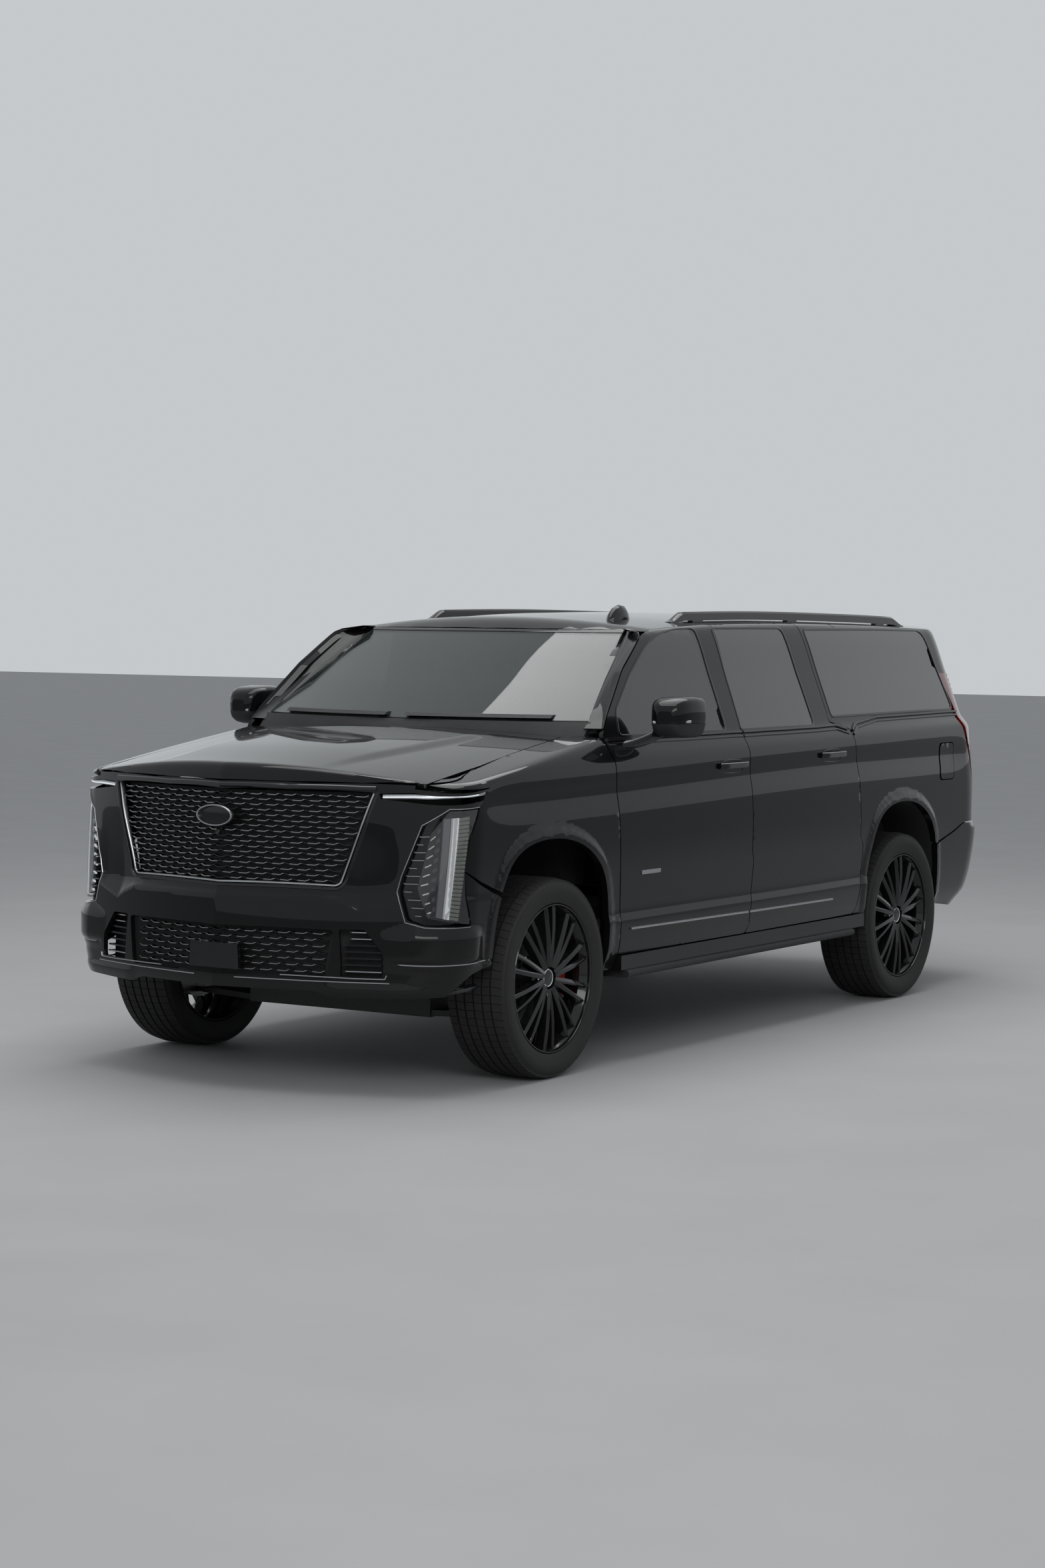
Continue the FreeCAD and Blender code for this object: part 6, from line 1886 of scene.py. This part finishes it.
def build_seats():
    """Three rows of padded seats on plain bases."""
    rows = (("front", "front_seats", -0.850, ((0.190, 0.690), (-0.690, -0.190))),
            ("second_row", "rear_seats", 0.120, ((0.190, 0.690), (-0.690, -0.190))),
            ("third_row", "rear_seats", 1.130, ((0.01, 0.600), (-0.600, -0.01))))
    for label, node, y, spans in rows:
        for tag, pieces in (("cushions", lambda x, w: [pad((x, y + 0.29, 0.960), (w * 0.70, 0.54, 0.17)),
                                                       pad((x - w * 0.40, y + 0.29, 0.972),
                                                               (w * 0.17, 0.52, 0.17)),
                                                       pad((x + w * 0.40, y + 0.29, 0.972),
                                                               (w * 0.17, 0.52, 0.17))]),
                            ("backs", lambda x, w: [pad((x, y + 0.585, 1.270), (w * 0.66, 0.13, 0.56),
                                    0.17),
                                                    pad((x - w * 0.38, y + 0.560, 1.255),
                                                            (w * 0.20, 0.15, 0.54), 0.17),
                                                    pad((x + w * 0.38, y + 0.560, 1.255),
                                                            (w * 0.20, 0.15, 0.54), 0.17)]),
                            ("headrests", lambda x, w: [pad((x, y + 0.640, 1.615),
                                    (min(w * 0.56, 0.28), 0.10, 0.16), 0.10)])):
            both_pieces = []
            for x0, x1 in spans:
                both_pieces += pieces((x0 + x1) / 2, x1 - x0)
            pads = show("%s_%s" % (label, tag), both_pieces, leather, smooth=60.0)
            turn_outwards(pads)
            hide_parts(node)
        frames = []
        for x0, x1 in spans:
            frames.append(box_piece(x0 + 0.05, x1 - 0.05, y + 0.06, y + 0.50, 0.700, 0.885))
            frames += [box_piece((x0 + x1) / 2 + s - 0.006, (x0 + x1) / 2 + s + 0.006, y + 0.625, y + 0.637,
                    1.50, 1.58)
                       for s in (-0.05, 0.05)]
        show(label + "_seat_base", frames, soft_trim)


STEERING_PLACE = (0.440, -1.015, 1.200)
STEERING_LEAN = 0.42
STEERING_RADIUS = 0.182
GRIP_RADIUS = 0.015


def build_cabin():
    """Steering wheel, display and the pad on the dashboard."""
    ring, faces = [], []
    for i in range(64):
        a = 2 * math.pi * i / 64
        for k in range(14):
            b = 2 * math.pi * k / 14
            r = STEERING_RADIUS + GRIP_RADIUS * math.cos(b)
            ring.append((r * math.cos(a), GRIP_RADIUS * math.sin(b), r * math.sin(a)))
            faces.append((i * 14 + k, ((i + 1) % 64) * 14 + k, ((i + 1) % 64) * 14 + (k + 1) % 14,
                          i * 14 + (k + 1) % 14))
    hub = pad((0.0, -0.006, -0.012), (0.15, 0.05, 0.12), 0.0, 0.5, 20)
    arms = [box_piece(-0.172, 0.172, -0.012, 0.004, -0.026, 0.010),
            box_piece(-0.022, 0.022, -0.012, 0.004, -0.172, 0.0),
            box_piece(-0.020, 0.020, -0.17, -0.02, -0.020, 0.020)]
    wheel = []
    turn = Matrix.Rotation(STEERING_LEAN, 4, "X")
    for points, sides in [(ring, faces), hub] + arms:
        moved = [tuple(turn @ Vector(p) + Vector(STEERING_PLACE)) for p in points]
        wheel.append((moved, sides))
    wheel = show("steering_wheel_rim", wheel, soft_trim, smooth=50.0)
    turn_outwards(wheel)
    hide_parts("steering_wheel")
    display = [box_piece(-0.08, 0.66, -1.105, -1.095, 1.225, 1.335)]
    show("curved_display", display, gloss)
    hoods = []
    outline = ((-1.30, 1.400), (-1.12, 1.418), (-1.075, 1.396), (-1.09, 1.350), (-1.16, 1.340))
    for x0, x1 in ((-0.755, -0.12), (-0.10, 0.755)):
        hoods.append(lofted([[(x, y, z) for y, z in outline] for x in (x0, x1)]))
    cover = show("dash_pad", hoods, soft_trim)
    bevelled(cover, 0.012, 3, 30.0)


def build_calipers():
    """Red caliper faces that show behind the spokes of the steered wheels."""
    for side, sign in SIDES:
        rows = []
        for a in np.linspace(-0.42, 0.42, 13):
            rows.append([(x, FRONT_AXLE_Y + r * math.cos(a), AXLE_Z + r * math.sin(a))
                         for x, r in ((0.899, 0.148), (0.908, 0.158), (0.909, 0.238), (0.899, 0.252))])
        show("caliper_cover_" + side, sided(sign, [lofted(rows)]), caliper_red, "knuckle_" + side)


def build_wheel_tubs():
    """Half-round tubs over the rear wheels, closed towards the cabin."""
    inner = arch_part(REAR_AXLE_Y, 0.60, 0.60)
    middle = np.array((REAR_AXLE_Y, 0.60))
    outer = middle + (inner - middle) * 1.02
    for side, sign in SIDES:
        pieces = []
        for outline, x0, x1 in ((np.concatenate((outer, inner[::-1])), 0.700, 0.965),
                (outer, 0.700, 0.708)):
            pieces.append(lofted([[(x, y, z) for y, z in outline] for x in (x0, x1)]))
        show("wheel_tub_" + side, sided(sign, pieces), grained)


def build_details():
    """Everything that sits on or in the body."""
    for side, sign in SIDES:
        build_quarter(side, sign)
        build_mirror(side, sign)
    build_calipers()
    build_wheel_tubs()
    build_pillars()
    build_glass()
    build_gate()
    build_side_trim()
    build_roof_parts()
    build_seats()
    build_cabin()


build_details()


FLOOR_HALF = 60.0
FLOOR_TONES = ((0.40, 0.405, 0.41), (0.46, 0.465, 0.47))
ROOM_TONE = (0.36, 0.37, 0.385, 1.0)
BACKGROUND_TONE = (0.56, 0.585, 0.60, 1.0)
OVERHEAD_POWER = 330.0
FRONT_LEFT_POWER = 200.0


def build_camera():
    """The camera that took the photograph."""
    a = math.radians(CAMERA_AZIMUTH)
    e = math.radians(CAMERA_ELEVATION)
    roll = math.radians(CAMERA_ROLL)
    back = Vector((math.sin(a) * math.cos(e), -math.cos(a) * math.cos(e), math.sin(e)))
    right_level = (-back).cross(Vector((0.0, 0.0, 1.0))).normalized()
    up_level = right_level.cross(-back)
    right = math.cos(roll) * right_level + math.sin(roll) * up_level
    up = math.cos(roll) * up_level - math.sin(roll) * right_level
    data = bpy.data.cameras.new("camera")
    data.lens = CAMERA_LENS
    data.clip_end = 200.0
    camera = bpy.data.objects.new("camera", data)
    camera.matrix_world = Matrix.Translation(CAMERA_PLACE) @ Matrix(
        (right, up, back)).transposed().to_4x4()
    bpy.context.scene.collection.objects.link(camera)
    bpy.context.scene.camera = camera


def softbox(name, place, aim, size, power):
    """A rectangular soft light that looks at a point."""
    data = bpy.data.lights.new(name, "AREA")
    data.shape = "RECTANGLE"
    data.size, data.size_y = size
    data.energy = power
    light = bpy.data.objects.new(name, data)
    light.location = place
    light.rotation_mode = "QUATERNION"
    light.rotation_quaternion = (Vector(aim) - Vector(place)).to_track_quat("-Z", "Y")
    bpy.context.scene.collection.objects.link(light)


def build_world():
    """A pale surround that the camera, the paint and the glass see, and a darker tone in the light it
    gives.
    """
    world = bpy.data.worlds.new("studio")
    world.use_nodes = True
    bpy.context.scene.world = world
    tree = world.node_tree
    ray = tree.nodes.new("ShaderNodeLightPath")
    seen = tree.nodes.new("ShaderNodeMath")
    seen.operation = "MAXIMUM"
    tree.links.new(ray.outputs["Is Camera Ray"], seen.inputs[0])
    also = tree.nodes.new("ShaderNodeMath")
    also.operation = "MAXIMUM"
    tree.links.new(ray.outputs["Is Glossy Ray"], also.inputs[0])
    tree.links.new(ray.outputs["Is Transmission Ray"], also.inputs[1])
    tree.links.new(also.outputs[0], seen.inputs[1])
    tint = tree.nodes.new("ShaderNodeMix")
    tint.data_type = "RGBA"
    tint.inputs[6].default_value = ROOM_TONE
    tint.inputs[7].default_value = BACKGROUND_TONE
    tree.links.new(seen.outputs[0], tint.inputs[0])
    tree.links.new(tint.outputs[2], tree.nodes["Background"].inputs["Color"])
    tree.nodes["Background"].inputs["Strength"].default_value = 1.0


def build_floor():
    """A plain pale floor."""
    f = Finish("pale_floor")
    f.set(Base_Color=f.shades(f.noise(1.5), *FLOOR_TONES), Roughness=0.7)
    half = FLOOR_HALF
    mesh = bpy.data.meshes.new("floor_sheet")
    mesh.from_pydata([(-half, -half, 0), (half, -half, 0), (half, half, 0), (-half, half, 0)],
                     [], [(0, 1, 2, 3)])
    mesh.materials.append(f.material)
    floor = bpy.data.objects.new("floor_sheet", mesh)
    bpy.context.scene.collection.objects.link(floor)


build_camera()
build_world()
build_floor()
softbox("overhead", (0.0, 0.0, 7.0), (0.0, 0.0, 0.0), (5.0, 9.0), OVERHEAD_POWER)
softbox("front_left", (6.0, -9.0, 5.0), (0.0, -1.0, 0.8), (6.0, 3.0), FRONT_LEFT_POWER)
bpy.context.scene.view_settings.view_transform = "Standard"
